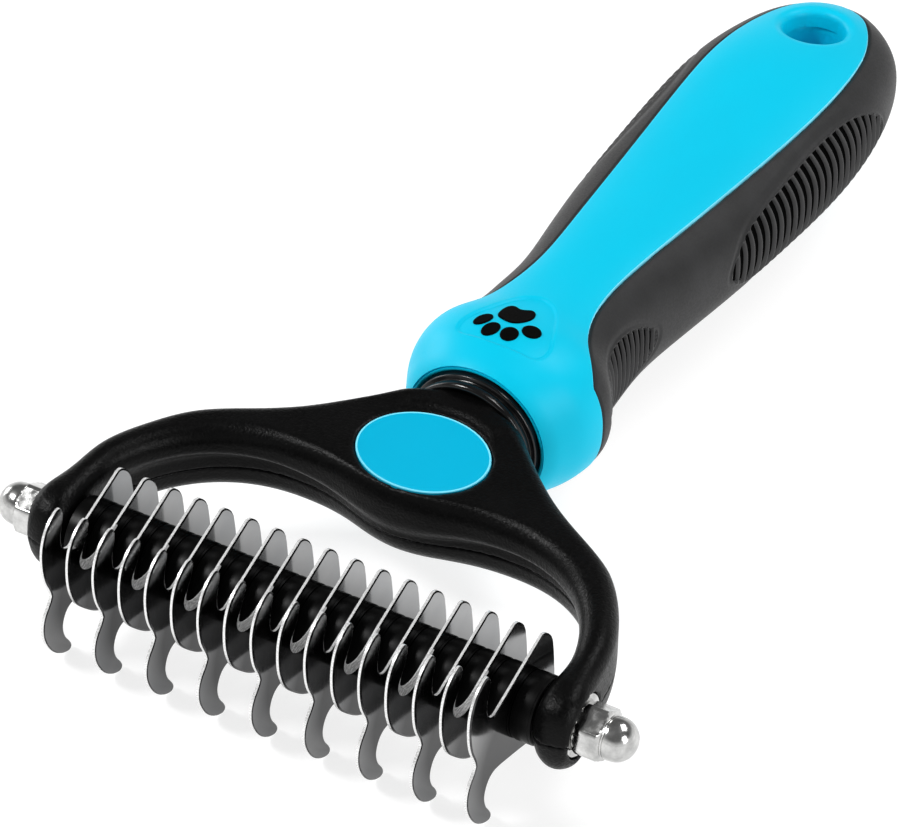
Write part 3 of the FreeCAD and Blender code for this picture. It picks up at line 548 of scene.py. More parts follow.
def plate_mesh(runs):
    """Points, faces, groups and finishes of one plate, centred on the axle."""
    ring, widths = [], []
    for run, bevel in runs:
        samples = curve(run, step=PLATE_STEP)[:-1]
        t = np.arange(len(samples)) / len(samples)
        ring.append(samples)
        widths.append(np.interp(t, np.linspace(0, 1, len(bevel)), bevel))
    ring = np.vstack(ring)
    widths = np.concatenate(widths)
    for _ in range(6):
        widths = (np.roll(widths, 1) + 2 * widths + np.roll(widths, -1)) / 4
    count = len(ring)
    inner = ring + ring_inward(ring) * widths[:, None]
    edge_half = PLATE_HALF - np.clip(0.06 + 0.16 * widths, 0.08, 0.24)
    hole = circle(PLATE_BORE, BORE_AROUND)

    # the flat face, cut out of everything inside its outline and outside the bore
    flat = np.vstack([inner, hole])
    edges = [(k, (k + 1) % count) for k in range(count)]
    edges += [(count + k, count + (k + 1) % len(hole)) for k in range(len(hole))]
    verts, _, faces, origin, _, _ = delaunay_2d_cdt(
        [Vector(p) for p in flat], edges, [], 1, 1e-5, True
    )
    corners = np.array([tuple(v) for v in verts])
    middles = np.array([corners[f].mean(axis=0) for f in faces])
    inside = ring_distance(middles[:, 0], middles[:, 1], inner) < 0
    inside &= np.linalg.norm(middles, axis=1) > PLATE_BORE * 0.99
    number = [o[0] for o in origin]

    points = []
    for x, loop in (
        (PLATE_HALF, inner), (edge_half, ring), (-edge_half, ring), (-PLATE_HALF, inner),
        (PLATE_HALF, hole), (-PLATE_HALF, hole),
    ):
        points.append(np.column_stack([np.broadcast_to(x, len(loop)), loop]))
    starts = np.cumsum([0] + [len(p) for p in points])
    loops = [np.arange(starts[k], starts[k + 1]) for k in range(6)]
    out_faces, groups, finishes = [], [], []

    def add(new_faces, group, slots):
        out_faces.extend(new_faces)
        groups.extend([group] * len(new_faces))
        finishes.extend(slots)

    bevel_slots = np.where(widths > WIDE_BEVEL, GROUND_HIGHLIGHT_SLOT, EDGE_SHADE_SLOT).tolist()
    rim_slots = [GROUND_HIGHLIGHT_SLOT] * count
    for k, slots in enumerate((bevel_slots, rim_slots, bevel_slots)):
        add(ring_faces(loops[k], loops[k + 1]).tolist(), k + 1, slots)
    add(ring_faces(loops[5], loops[4]).tolist(), 4, [FACE_SLOT] * len(hole))
    if ring_area(ring) > 0:
        out_faces = [face[::-1] for face in out_faces]
    top, bottom = [], []
    for keep, face in zip(inside, faces):
        if keep:
            ids = [number[i] for i in face]
            top.append([loops[0][i] if i < count else loops[4][i - count] for i in ids])
            bottom.append([loops[3][i] if i < count else loops[5][i - count] for i in ids][::-1])
    add(top, 0, [FACE_SLOT] * len(top))
    add(bottom, 5, [FACE_SLOT] * len(bottom))
    return np.vstack(points), out_faces, groups, finishes


for kind, runs, how_many in (("hook", HOOK_PLATE, 9), ("comb", COMB_PLATE, 8)):
    plate_points, plate_faces, plate_groups, plate_finishes = plate_mesh(runs)
    for number in range(1, how_many + 1):
        node = f"{kind}_blade_{number}"
        low, high = span(node)
        make_piece(
            f"{kind}_plate_{number}", plate_points + [(low + high)[0] / 2, 0, 0], plate_faces,
            [STEEL, GROUND_HIGHLIGHT, EDGE_SHADE], TOOL, [node], plate_groups, plate_finishes,
        )

# ---- Spacers

SPACER_RADIUS, SPACER_END, SPACER_BORE = 4.95, 4.88, 2.05
SPACER_STEP = 0.4
SPACER_ROUND, EDGE_ROUND = 0.16, 0.14
SMALL_AROUND, RING_AROUND = 72, 128


def spacer_profile(half):
    """Half-section of a spacer: a body with a shallow step at each end and broken edges."""
    body = half - SPACER_STEP
    return rounded([
        (-half, SPACER_BORE), (half, SPACER_BORE), (half, SPACER_END), (body, SPACER_END),
        (body, SPACER_RADIUS), (-body, SPACER_RADIUS), (-body, SPACER_END), (-half, SPACER_END),
    ], SPACER_ROUND)


spacer_nodes = [f"spacer_{k:02d}" for k in range(1, 17)] + ["end_spacer_left", "end_spacer_right"]
for node in spacer_nodes:
    low, high = span(node)
    points, faces, groups = turned(spacer_profile((high - low)[0] / 2), SMALL_AROUND)
    make_piece(
        node.replace("spacer", "sleeve"), points + (low + high) / 2, faces, SPACER_BLACK, TOOL,
        [node], groups,
    )

# ---- Washers and acorn nuts

WASHER_BORE, WASHER_RADIUS = 2.07, 4.5

for side in ("left", "right"):
    low, high = span(f"washer_{side}")
    half = (high - low)[0] / 2
    washer_corners = [
        (-half, WASHER_BORE), (half, WASHER_BORE), (half, WASHER_RADIUS), (-half, WASHER_RADIUS),
    ]
    points, faces, groups = turned(rounded(washer_corners, EDGE_ROUND), SMALL_AROUND)
    make_piece(
        f"plain_washer_{side}", points + (low + high) / 2, faces, ZINC, f"nut_{side}",
        [f"washer_{side}"], groups,
    )

NUT_AROUND = 180
NUT_LENGTH = 8.0
NUT_FLAT = 3.5
NUT_BORE, NUT_BORE_DEPTH, NUT_BORE_TIP = 2.06, 5.6, 0.8
# The hexagon's length, and the cone that turns its corners off, as (x, radius).
NUT_HEX = 4.1
NUT_CORNERS = [
    (0, 3.35), (0.12, 3.5), (0.35, 3.8), (0.6, 4.2), (1.4, 4.2), (2.6, 4.2), (3.4, 4.2),
    (3.65, 3.92), (3.85, 3.68), (4, 3.48), (NUT_HEX, 3.3),
]
NUT_SHOULDER = [(NUT_HEX + 0.02, 3.14), (NUT_HEX + 0.14, 3.04), (NUT_HEX + 0.32, 3.10),
                (NUT_HEX + 0.6, 3.12)]
DOME_RADIUS, DOME_LENGTH, DOME_FULLNESS = 3.10, 2.95, 0.92
DOME_DEGREES = (0, 10, 20, 30, 40, 50, 60, 70, 80, 86)


def acorn_nut():
    """Hexagon base with turned corners, a shoulder, a dome and a blind bore, pointing along +X."""
    sixth = math.pi / 3
    fold = (circle_angles(NUT_AROUND) - sixth / 2) % sixth - sixth / 2
    flat = np.minimum(NUT_FLAT / np.cos(fold), NUT_FLAT / math.cos(sixth / 2) - 0.14)
    stations = [(x, np.minimum(flat, cone)) for x, cone in NUT_CORNERS] + NUT_SHOULDER
    for turn in np.radians(DOME_DEGREES):
        stations.append((
            NUT_LENGTH - DOME_LENGTH * (1 - math.sin(turn)),
            DOME_RADIUS * math.cos(turn) ** DOME_FULLNESS,
        ))
    # loops run from the dome's tip back to the seat, then into the bore
    bore = [(0.0, NUT_BORE + 0.35), (0.35, NUT_BORE), (NUT_BORE_DEPTH, NUT_BORE)]
    stations = stations[::-1] + bore
    ends = [[NUT_LENGTH, 0, 0], [NUT_BORE_DEPTH + NUT_BORE_TIP, 0, 0]]
    points = np.vstack([loops_about_x(stations, NUT_AROUND), ends])
    faces = tube_faces(len(stations), NUT_AROUND)[:, ::-1].tolist()
    tip, bore_end = len(points) - 2, len(points) - 1
    last = tip - NUT_AROUND
    for k in range(NUT_AROUND):
        after = (k + 1) % NUT_AROUND
        faces += [[k, after, tip], [last + after, last + k, bore_end]]
    return points, faces


nut_points, nut_faces = acorn_nut()
for side, sign in (("left", -1), ("right", 1)):
    low, high = span(f"acorn_nut_{side}")
    seat = low[0] if sign > 0 else high[0]
    nut = make_piece(
        f"cap_nut_{side}", nut_points * [sign, sign, 1] + [seat, 0, 0], nut_faces, ZINC,
        f"nut_{side}", [f"acorn_nut_{side}"],
    )
    nut.data.set_sharp_from_angle(angle=math.radians(24))

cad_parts["axle_rod"].data.materials.clear()
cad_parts["axle_rod"].data.materials.append(ZINC)

# ---- Yoke
# Two moulded shells, drawn as one solid field and parted at the axle's height.

OUTSIDE_HALF = [
    (10.4, 41), (11.8, 39.2), (14.5, 36.1), (19.3, 31.4), (25.3, 27.4), (33, 22.6),
    (37.9, 16.6), (40.9, 9.8), (42, 3.8), (42.7, 0.4), (43, -3), (42.6, -5.6),
]
ARM_FRONT = [(42.6, -5.6), (40.6, -6.9), (38.2, -6.7), (36.95, -5)]
RIM_INSIDE_HALF = [
    (36.95, -5), (36.95, 1), (36.9, 5), (35.75, 9.3), (33.8, 13), (30, 17.3),
    (25, 20.3), (20, 21.7), (16.5, 22), (10, 21.6), (5, 20.7), (0, 20.4),
]
WALL_INSIDE_HALF = [
    (36.95, -5), (37, 1), (37.3, 5), (36.6, 9.3), (35, 13.5), (31.5, 18.4),
    (26.5, 22.3), (21, 24.2), (16.5, 24.5), (11, 23.8), (5, 21.8), (0, 21),
]
BOSS = 6.7
TOP_FRONT = [(-BOSS, 0), (-0.87 * BOSS, 0.5 * BOSS), (-0.5 * BOSS, 0.87 * BOSS), (0, BOSS)]
TOP_RUN = [
    (0, BOSS), (5, 7), (9.3, 7.65), (17, 8), (21, 8.36), (25, 8.75), (29, 9.13),
    (33, 9.52), (37, 10.1), (41, 11.3), (47, 12.8),
]
BOTTOM_FRONT = [(u, -v) for u, v in TOP_FRONT]
BOTTOM_RUN = [
    (0, -BOSS), (4, -6.1), (8, -4.9), (13, -4.25), (20, -4.1), (28, -4.5),
    (35, -5.2), (41, -5.7), (47, -6),
]
NECK_RADIUS = 8.9
NECK_HEIGHT = 2.7
NECK_FRONT, NECK_BACK = 36.0, 46.6
BADGE_CENTRE = (0.0, 29.2, 9.15)
BADGE_LONG, BADGE_SHORT = 9.85, 7.7
BADGE_TILT = math.radians(5.5)
BADGE_GAP, BADGE_SEAT = 0.12, 1.02
# The yoke's top stays this far under the badge's face, and is let go over this stretch round it.
FLAT_UNDER, FLAT_RELEASE, FLAT_FADE = 0.07, 0.5, (0.3, 1.8)
# The rolled lip along the inner edge, which is broader in the middle.
LIP_ROLL, MIDDLE_ROLL, MIDDLE_HALF, MIDDLE_FADE = 2.5, 0.9, 13.0, (23.5, 27.5)
LIP_RISE, LIP_LOWERED = (2.0, 4.6), 1.2
DRAFT = 0.10
# The back closes in round the neck like a cone that ends here, this wide.
CONE_BACK, CONE_RADIUS, CONE_SLOPE, CONE_FLARE, CONE_STEEP = 41.2, 10.2, 0.72, 0.03, 1.25
BODY_BACK, BACK_ROUND = 41.0, 1.2
NECK_FILLET, FILLET_FADE = 2.2, (42.2, 40.0)
SOCKET_FRONT, SOCKET_RADIUS = 33.5, 5.6
ROD_HOLE = 2.08
SEAT_INSIDE, SEAT_RADIUS = 41.2, 4.75
PART_GAP, PART_ROUND = 0.015, 0.10
HOLLOW_ROUND = 0.25
YOKE_OUTLINE_STEP = 0.8
# The grid round the yoke: its step, and where it starts and stops in steps.
NET_STEP = 0.32
NET_X, NET_Y, NET_Z = (-138, 139), (-24, 149), (-24, 43)


def plan_ring(inside_half):
    """Closed plan outline of the whole yoke."""
    outside_back = mirror_back(OUTSIDE_HALF)
    return outline([
        OUTSIDE_HALF, ARM_FRONT, inside_half + mirror_back(inside_half)[1:],
        mirror_back(ARM_FRONT), outside_back, [outside_back[-1], OUTSIDE_HALF[0]],
    ], YOKE_OUTLINE_STEP)


def side_ring():
    """Closed side outline of the yoke, in (Y, Z)."""
    return outline([
        TOP_FRONT, TOP_RUN, [TOP_RUN[-1], BOTTOM_RUN[-1]], BOTTOM_RUN[::-1], BOTTOM_FRONT[::-1],
    ], YOKE_OUTLINE_STEP)


def surface_net(field, axes):
    """Quads round the zero level of a field sampled on a regular grid."""
    shape = np.array(field.shape) - 1
    total = np.zeros((np.prod(shape), 3))
    hits = np.zeros(np.prod(shape))
    quads = []
    for axis in range(3):
        near = np.moveaxis(field, axis, 0)[:-1]
        far = np.moveaxis(field, axis, 0)[1:]
        crossing = np.argwhere((near < 0) != (far < 0))
        a, b = near[tuple(crossing.T)], far[tuple(crossing.T)]
        u, v = (axis + 1) % 3, (axis + 2) % 3
        order = [axis] + [k for k in range(3) if k != axis]
        index = np.empty_like(crossing)
        for column, k in enumerate(order):
            index[:, k] = crossing[:, column]
        where = index.astype(float)
        where[:, axis] += a / (a - b)
        corners = []
        inside_grid = np.ones(len(index), bool)
        for du, dv in ((0, 0), (-1, 0), (-1, -1), (0, -1)):
            cell = index.copy()
            cell[:, u] += du
            cell[:, v] += dv
            valid = ((cell >= 0) & (cell < shape)).all(axis=1)
            inside_grid &= valid
            flat = np.ravel_multi_index(np.clip(cell, 0, shape - 1).T, shape)
            corners.append(flat)
            for k in range(3):
                total[:, k] += np.bincount(flat[valid], where[valid, k], len(total))
            hits += np.bincount(flat[valid], None, len(hits))
        quad = np.column_stack(corners)
        quad[a > 0] = quad[a > 0][:, ::-1]
        quads.append(quad[inside_grid])
    used = hits > 0
    number = np.cumsum(used) - 1
    points = total[used] / hits[used][:, None]
    for k, values in enumerate(axes):
        points[:, k] = values[0] + points[:, k] * (values[1] - values[0])
    return points, number[np.vstack(quads)]


def yoke_shells():
    """Points and quads of the upper and the lower shell."""
    xs = np.arange(*NET_X) * NET_STEP
    ys = np.arange(*NET_Y) * NET_STEP
    zs = (np.arange(*NET_Z) + 0.5) * NET_STEP
    plan_x, plan_y = np.meshgrid(xs, ys, indexing="ij")
    rim_plan = ring_distance(plan_x, plan_y, plan_ring(RIM_INSIDE_HALF))[:, :, None]
    wall_plan = ring_distance(plan_x, plan_y, plan_ring(WALL_INSIDE_HALF))[:, :, None]
    side_y, side_z = np.meshgrid(ys, zs, indexing="ij")
    side = ring_distance(side_y, side_z, side_ring())[None, :, :]
    x, y, z = xs[:, None, None], ys[None, :, None], zs[None, None, :]

    # the inner edge is a rolled lip over a set-back wall, broader in the middle
    middle = np.exp(-((x / MIDDLE_HALF) ** 2)) * (1 - smoothstep(*MIDDLE_FADE, y))
    rim_plan = rim_plan * (1 + 2 * MIDDLE_ROLL * middle)
    over = smoothstep(*LIP_RISE, z + LIP_LOWERED * middle)
    plan = wall_plan * (1 - over) + rim_plan * over + DRAFT * np.maximum(-z, 0)
    body = round_both(plan, side, LIP_ROLL + MIDDLE_ROLL * middle)

    # the back closes in like a cone round the neck
    from_neck = np.hypot(x, z - NECK_HEIGHT)
    ahead = np.maximum(CONE_BACK - y, 0)
    cone = from_neck - (CONE_RADIUS + CONE_SLOPE * ahead + CONE_FLARE * ahead**2)
    body = round_both(body, np.maximum(cone / CONE_STEEP, y - BODY_BACK), BACK_ROUND)
    neck = np.maximum(from_neck - NECK_RADIUS, np.maximum(y - NECK_BACK, NECK_FRONT - y))
    body = smooth_either(body, neck, NECK_FILLET * smoothstep(*FILLET_FADE, y) + 0.01)

    # the top is flattened round the badge, which lies in a pocket
    c, s = math.cos(BADGE_TILT), math.sin(BADGE_TILT)
    back, up = y - BADGE_CENTRE[1], z - BADGE_CENTRE[2]
    above = up * c - back * s
    oval = np.hypot(x / (BADGE_LONG + BADGE_GAP), (back * c + up * s) / (BADGE_SHORT + BADGE_GAP))
    from_oval = (oval - 1) * BADGE_SHORT
    flat = above + FLAT_UNDER - FLAT_RELEASE * smoothstep(*FLAT_FADE, from_oval)
    body = np.maximum(body, flat)
    pocket = np.maximum(from_oval, -BADGE_SEAT - above)

    socket = np.maximum(from_neck - SOCKET_RADIUS, SOCKET_FRONT - y)
    from_axle = np.hypot(y, z)
    seat = np.maximum(from_axle - SEAT_RADIUS, SEAT_INSIDE - abs(x))
    body = np.maximum(np.maximum(body, -socket), ROD_HOLE - from_axle)
    for hollow in (seat, pocket):
        body = -smooth_either(-body, hollow, HOLLOW_ROUND)
    halves = [round_both(body, PART_GAP + away, PART_ROUND) for away in (-z, z)]
    return [surface_net(half, (xs, ys, zs)) for half in halves]


for shell_name, (points, faces) in zip(("upper", "lower"), yoke_shells()):
    make_piece(
        f"yoke_{shell_name}_moulding", points, faces, YOKE_BLACK, TOOL,
        [f"yoke_{shell_name}_shell"],
    )

# ---- Neck ring

RING_STEPS = [
    (41.08, 8.95), (41.08, 9.3), (41.4, 9.65), (42.3, 9.65), (42.55, 9.35), (42.85, 9.35),
    (43, 10), (43.4, 10.1), (46.58, 10.1), (46.58, 8.95),
]
points, faces, groups = turned_about_neck(rounded(RING_STEPS, EDGE_ROUND), RING_AROUND)
make_piece("neck_trim", points, faces, GLOSS_BLACK, TOOL, ["neck_ring"], groups)

# ---- Badge
# The badge's loops, from the wall over a thin raised rim to the face: inset and height.

BADGE_STEPS = [
    (0, -0.98), (0, -0.14), (0.03, -0.05), (0.08, 0), (0.20, 0), (0.28, -0.04),
    (0.4, -0.06), (1.5, -0.05), (3, -0.03), (4.6, -0.012), (6.2, 0), (7.2, 0),
]
BADGE_RIM = range(1, 5)
BADGE_AROUND = 160


def capped(loops):
    """Points and faces of loops of the same length, closed at both ends."""
    count = len(loops[0])
    first = len(loops) * count - count
    faces = tube_faces(len(loops), count).tolist()
    faces += [list(range(first, first + count)), list(range(count))[::-1]]
    return np.vstack(loops), faces


def badge_mesh():
    """Oval plate, very slightly domed, with a raised thin rim round its face."""
    unit = circle(1, BADGE_AROUND)
    points, faces = capped([
        np.column_stack([
            unit * [BADGE_LONG - inset, BADGE_SHORT - inset], np.full(BADGE_AROUND, height),
        ]) for inset, height in BADGE_STEPS
    ])
    # the rim's faces get the pale cyan: a painted highlight
    slots = [int(k // BADGE_AROUND in BADGE_RIM) for k in range(len(faces))]
    tilt = np.array(Matrix.Rotation(BADGE_TILT, 3, "X"))
    return points @ tilt.T + BADGE_CENTRE, faces, slots


points, faces, slots = badge_mesh()
badge = make_piece(
    "badge_inlay", points, faces, [BADGE_CYAN, CYAN_EDGE_HIGHLIGHT], TOOL, ["badge"],
    slots_of_faces=slots,
)
badge.data.set_sharp_from_angle(angle=math.radians(40))

# ---- Handle
# Cross-sections: distance behind the axle, half width, half height, centre height, squareness.

HANDLE_SECTIONS = [
    (43.6, 11, 11, 2.85, 2),
    (44.6, 12, 11.5, 2.95, 2.05),
    (46.4, 13, 12, 3.15, 2.1),
    (49, 14.3, 12.45, 3.4, 2.2),
    (52, 15.1, 12.6, 3.5, 2.25),
    (55.8, 14.95, 12.1, 3.6, 2.4),
    (60, 12.75, 11.35, 3.75, 2.4),
    (66, 11.6, 10.5, 4.05, 2.5),
    (73, 11.3, 10.1, 4.25, 2.5),
    (82, 12.3, 9.8, 4.5, 2.5),
    (95.3, 14.2, 9.55, 4.65, 2.5),
    (110.6, 15.5, 9.7, 4.75, 2.5),
    (122.9, 16.1, 9.95, 5, 2.5),
    (135.2, 15.6, 9.85, 5.55, 2.5),
    (144.4, 13.9, 9.1, 5.85, 2.4),
    (150.5, 11.4, 8.25, 5.95, 2.3),
    (154.6, 7.7, 6.55, 5.95, 2.2),
    (156.9, 4.4, 4.15, 5.95, 2.1),
    (157.45, 2.1, 2, 5.95, 2),
    (157.6, 0.05, 0.05, 5.95, 2),
]
COLLAR_BACK = 53.1
# The lip and inside of the collar's mouth, turned about the neck's axis.
MOUTH = [
    (47, 8), (47, 10.35), (44.1, 10.35), (43.75, 10.42), (43.62, 10.6), (43.6, 10.8),
    (44.4, 10.85), (46, 10.9), (48, 10.9), (48, 8),
]
PANEL_EDGE = [
    (14.2, 52.2), (12.5, 54.6), (10.3, 57.4), (8.2, 61.2), (7, 65.7), (6.5, 71.6), (6.85, 79.4),
    (7.8, 89.8), (8.8, 100.7), (9.8, 111.7), (10.6, 122), (10.9, 129.4), (10.6, 136.7),
    (9.3, 143.8), (6.9, 149.3), (3.6, 153), (0, 154.3),
]
PANEL_FRONT = [(-14.2, 48), (14.2, 48)]
RECESS_HALF = [
    (0, 7.1), (2.4, 6.1), (4.6, 2.9), (6.4, -1.1), (7.3, -4), (6.6, -5.9), (3.9, -6.6),
    (0, -6.8),
]
RECESS = RECESS_HALF + mirror_back(RECESS_HALF[1:-1])
LONG_OVAL = [
    (93, 4.2), (95.3, 8), (101, 10.2), (110, 11.2), (119, 11.9), (126, 12),
    (132, 11.2), (136.6, 9), (139.6, 5.4), (140.2, 2), (137, -0.5), (130, -1.6),
    (120, -2), (110, -1.5), (101, -0.2), (95.5, 1.8),
]
SHORT_OVAL = [
    (56.8, 4), (57.9, 7.2), (60.6, 9), (65, 9.8), (69.5, 9.2), (73.4, 7.4), (76, 4.6),
    (75, 2), (71.5, 0.2), (66.5, -0.6), (61.5, -0.2), (58.2, 1.4),
]
RECESS_BACK = 55.0
RECESS_DEPTH = 0.34
HOLE_BACK = 144.6
HOLE_RADIUS = 4.8
HOLE_WALL = 2.2
HOLE_UNDER_ROUND = 0.6
DISH = 1.15
DISH_REACH, DISH_DEPTH = 1.5 * DISH, 1.25 * DISH
LINING_RADIUS, LINING_AROUND = HOLE_RADIUS + 0.5, 120
# Grooves: where the first one is, their pitch, how many follow. The profile is in pitches.
RIBS = ((94.3, 1.93, 24), (58.0, 1.45, 13))
RIB_PROFILE = (-0.5, -0.42, -0.34, -0.24, 0.0, 0.24, 0.34, 0.42)
FULL_PITCH = 1.95
GROOVE_DEPTH = 1.0
OVAL_LIP = 0.16
PANEL_LIP = 0.28
GRIP_SET_BACK, GRIP_LIP = 0.12, 0.30
SEAM_HALF, SEAM_DEPTH = 0.035, 0.9
SKIN_WALL = 1.6
# Where the finishes change, by distance from the edges and by the groove's share of its depth.
# The ribbed area gets a lighter rubber as a painted highlight, the deeper part of each groove a
# near-black one as painted shade, and a band inside the panel's edge a pale cyan as a painted
# highlight.
RIBBED_INSIDE, GROOVE_SHARE, HIGHLIGHT_BAND = -0.4, 0.55, (-0.26, -0.03)
AROUND = 232
SKIN_SAMPLES, TOP_SAMPLES, EDGE_SAMPLES = 60, 30, 8
OVAL_STEP, RECESS_STEP = 0.8, 0.4
FAR = 50.0
# The columns that describe a point of the handle's skin: place, normal, and distances.
X, Y, Z, NX, _, NZ, EDGE, HOLE, PAW, OVAL = range(10)
NORMAL = slice(NX, NZ + 1)
# Levels of the distances at which the skin is cut, so that its lips and edges are crisp.
CUTS = (
    (EDGE, (-0.40, -0.26, -0.16, -0.08, -0.03, 0, 0.03, 0.10, 0.20, 0.34, 0.55)),
    (HOLE, HOLE_RADIUS + np.array((0, 0.08, 0.18, 0.32, 0.5, 0.75, 1, 1.3))),
    (PAW, (0.3, 0.12, 0, -0.12, -0.26, -0.42, -0.6)),
    (OVAL, (0.9, 0.1, -0.25, -0.5, -0.75)),
)


def sections_at(y, samples):
    """Half width, half height, centre height and squareness of the handle at a place."""
    dense = curve(HANDLE_SECTIONS, count=samples)
    dense = dense[np.argsort(dense[:, 0], kind="stable")]
    return [np.interp(y, dense[:, 0], dense[:, k]) for k in range(1, 5)]


def handle_stations():
    """Places along the handle that get a section, closer together where there are ribs."""
    backs = [43.6, 43.62, 43.7, 43.82, *np.arange(44.0, 156.8, 0.75)]
    backs += [156.9, 157.1, 157.25, 157.4, 157.5, 157.56, 157.6]
    for start, pitch, count in RIBS:
        first, last = start - pitch, start + pitch * (count + 1)
        backs = [b for b in backs if not first < b < last]
        for k in range(-1, count + 2):
            backs += [start + pitch * (k + offset) for offset in RIB_PROFILE]
    return np.array(sorted(backs))


def top_height(x, y):
    """Height of the handle's top surface."""
    wide, tall, centre, square = sections_at(y, TOP_SAMPLES)
    return centre + tall * (1 - np.minimum(abs(x) / wide, 1) ** square) ** (1 / square)


def handle_skin():
    """Points round the handle with their normals, and triangles: the form before any detail."""
    backs = handle_stations()
    angles = circle_angles(AROUND) + math.pi / AROUND
    c, s = np.cos(angles), np.sin(angles)
    rows = []
    for back, wide, tall, centre, square in zip(backs, *sections_at(backs, SKIN_SAMPLES)):
        power = 2 / square
        rows.append(np.column_stack([
            np.sign(c) * wide * abs(c) ** power, np.full(AROUND, back),
            centre + np.sign(s) * tall * abs(s) ** power,
        ]))
    grid = np.array(rows)
    along = np.gradient(grid, axis=0)
    around = np.roll(grid, -1, axis=1) - np.roll(grid, 1, axis=1)
    normal = np.cross(along, around)
    normal /= np.linalg.norm(normal, axis=2)[:, :, None] + 1e-12
    outward = np.sum(normal[:, :, [0, 2]] * (grid[:, :, [0, 2]] - [0, 5.0])) > 0
    normal = normal if outward else -normal
    points = np.concatenate([grid, normal], axis=2).reshape(-1, 6)
    quads = tube_faces(len(backs), AROUND)
    triangles = np.vstack([quads[:, [0, 1, 2]], quads[:, [0, 2, 3]]])
    a, b, c = (points[triangles[:, k], :3] for k in range(3))
    if np.sum(np.cross(b - a, c - a) * points[triangles[:, 0], NORMAL]) < 0:
        triangles = triangles[:, ::-1]
    return points, triangles


def measure(points):
    """Add each point's distance from the panel's edge, the hole, the paw recess and the ovals."""
    x, y, z = points[:, 0], points[:, 1], points[:, 2]
    backs, _, _, centres, _ = zip(*HANDLE_SECTIONS)
    centre = np.interp(y, backs, centres)
    half = curve(PANEL_EDGE, count=EDGE_SAMPLES)
    panel = ring_distance(x, y, np.vstack([half, half[-2::-1] * [-1, 1], PANEL_FRONT]))
    edge = np.where(z > centre + 1.0, np.minimum(panel, y - COLLAR_BACK), y - COLLAR_BACK)
    from_hole = np.hypot(x, y - HOLE_BACK)
    lining = from_hole - HOLE_RADIUS - HOLE_WALL
    edge = np.where(z < centre, np.minimum(edge, lining), edge)
    paw = ring_distance(x, y - RECESS_BACK, closed_curve(RECESS, RECESS_STEP))
    paw = np.where(z > centre, paw, FAR)
    ovals = [
        ring_distance(y, z, closed_curve(oval, OVAL_STEP)) for oval in (LONG_OVAL, SHORT_OVAL)
    ]
    return np.column_stack([points, edge, from_hole, paw, np.minimum(*ovals)])


def split_at(points, triangles, column, level):
    """Cut triangles along the line where one of the points' values crosses a level."""
    value = points[:, column] - level
    side = (value > 0)[triangles]
    count = side.sum(axis=1)
    crossing = (count == 1) | (count == 2)
    whole, cut = triangles[~crossing], triangles[crossing]
    if not len(cut):
        return points, triangles
    lone = np.argmax(side[crossing] == (count[crossing] == 1)[:, None], axis=1)
    row = np.arange(len(cut))
    a, b, c = (cut[row, (lone + k) % 3] for k in range(3))
    edges = np.sort(np.vstack([np.column_stack([a, b]), np.column_stack([a, c])]), axis=1)
    unique, inverse = np.unique(edges, axis=0, return_inverse=True)
    inverse = inverse.ravel()
    first, second = value[unique[:, 0]], value[unique[:, 1]]
    t = (first / (first - second))[:, None]
    added = points[unique[:, 0]] * (1 - t) + points[unique[:, 1]] * t
    added[:, column] = level
    p, q = np.split(inverse + len(points), 2)
    pieces = [
        whole, np.column_stack([a, p, q]), np.column_stack([p, b, c]), np.column_stack([p, c, q]),
    ]
    return np.vstack([points, added]), np.vstack(pieces)


def rib_depth(y, oval):
    """How deep the grooves are at a place along the handle."""
    depth = np.zeros(len(y))
    for start, pitch, count in RIBS:
        step = (y - start) / pitch
        within = (step > -0.6) & (step < count + 0.6)
        groove = 1 - smoothstep(0.24, 0.46, abs(step - np.round(step)))
        depth += np.where(within, groove, 0) * (pitch / FULL_PITCH) ** 0.5
    return depth * GROOVE_DEPTH * smoothstep(0.25, 0.75, -oval)


def shaped(points):
    """Points moved in from the skin by the grooves, the seam, the recess and the hole's dish."""
    y, edge, hole, paw, oval = (points[:, k] for k in (Y, EDGE, HOLE, PAW, OVAL))
    depth = rib_depth(y, oval)
    depth += OVAL_LIP * smoothstep(0.9, 0.1, oval) * smoothstep(-0.45, 0.1, oval) * (edge > 0)
    panel_lip = np.where(edge <= 0, PANEL_LIP * smoothstep(-0.38, -0.05, edge) ** 2, 0)
    grip_lip = GRIP_SET_BACK + GRIP_LIP * smoothstep(0.55, 0.08, edge) ** 2
    grip_lip = np.where(edge > 0, grip_lip, 0) * smoothstep(4.5, 0.3, edge)
    seam = np.where(abs(edge) < SEAM_HALF, SEAM_DEPTH, 0)
    depth += np.maximum(np.maximum(panel_lip, grip_lip), seam)
    # the paw recess follows the skin, with a soft lip round it
    depth += RECESS_DEPTH * smoothstep(0.12, -0.5, paw)
    moved = points[:, :3] - points[:, NORMAL] * depth[:, None]

    def rolled(reach, drop):
        """How far the skin rolls down into the hole, over a reach round it."""
        part = np.clip((HOLE_RADIUS + reach - hole) / reach, 0, 1)
        return drop * (1 - np.sqrt(1 - part**2))

    under = rolled(HOLE_UNDER_ROUND, HOLE_UNDER_ROUND)
    moved[:, 2] += np.where(points[:, NZ] > 0, -rolled(DISH_REACH, DISH_DEPTH), under)
    return moved


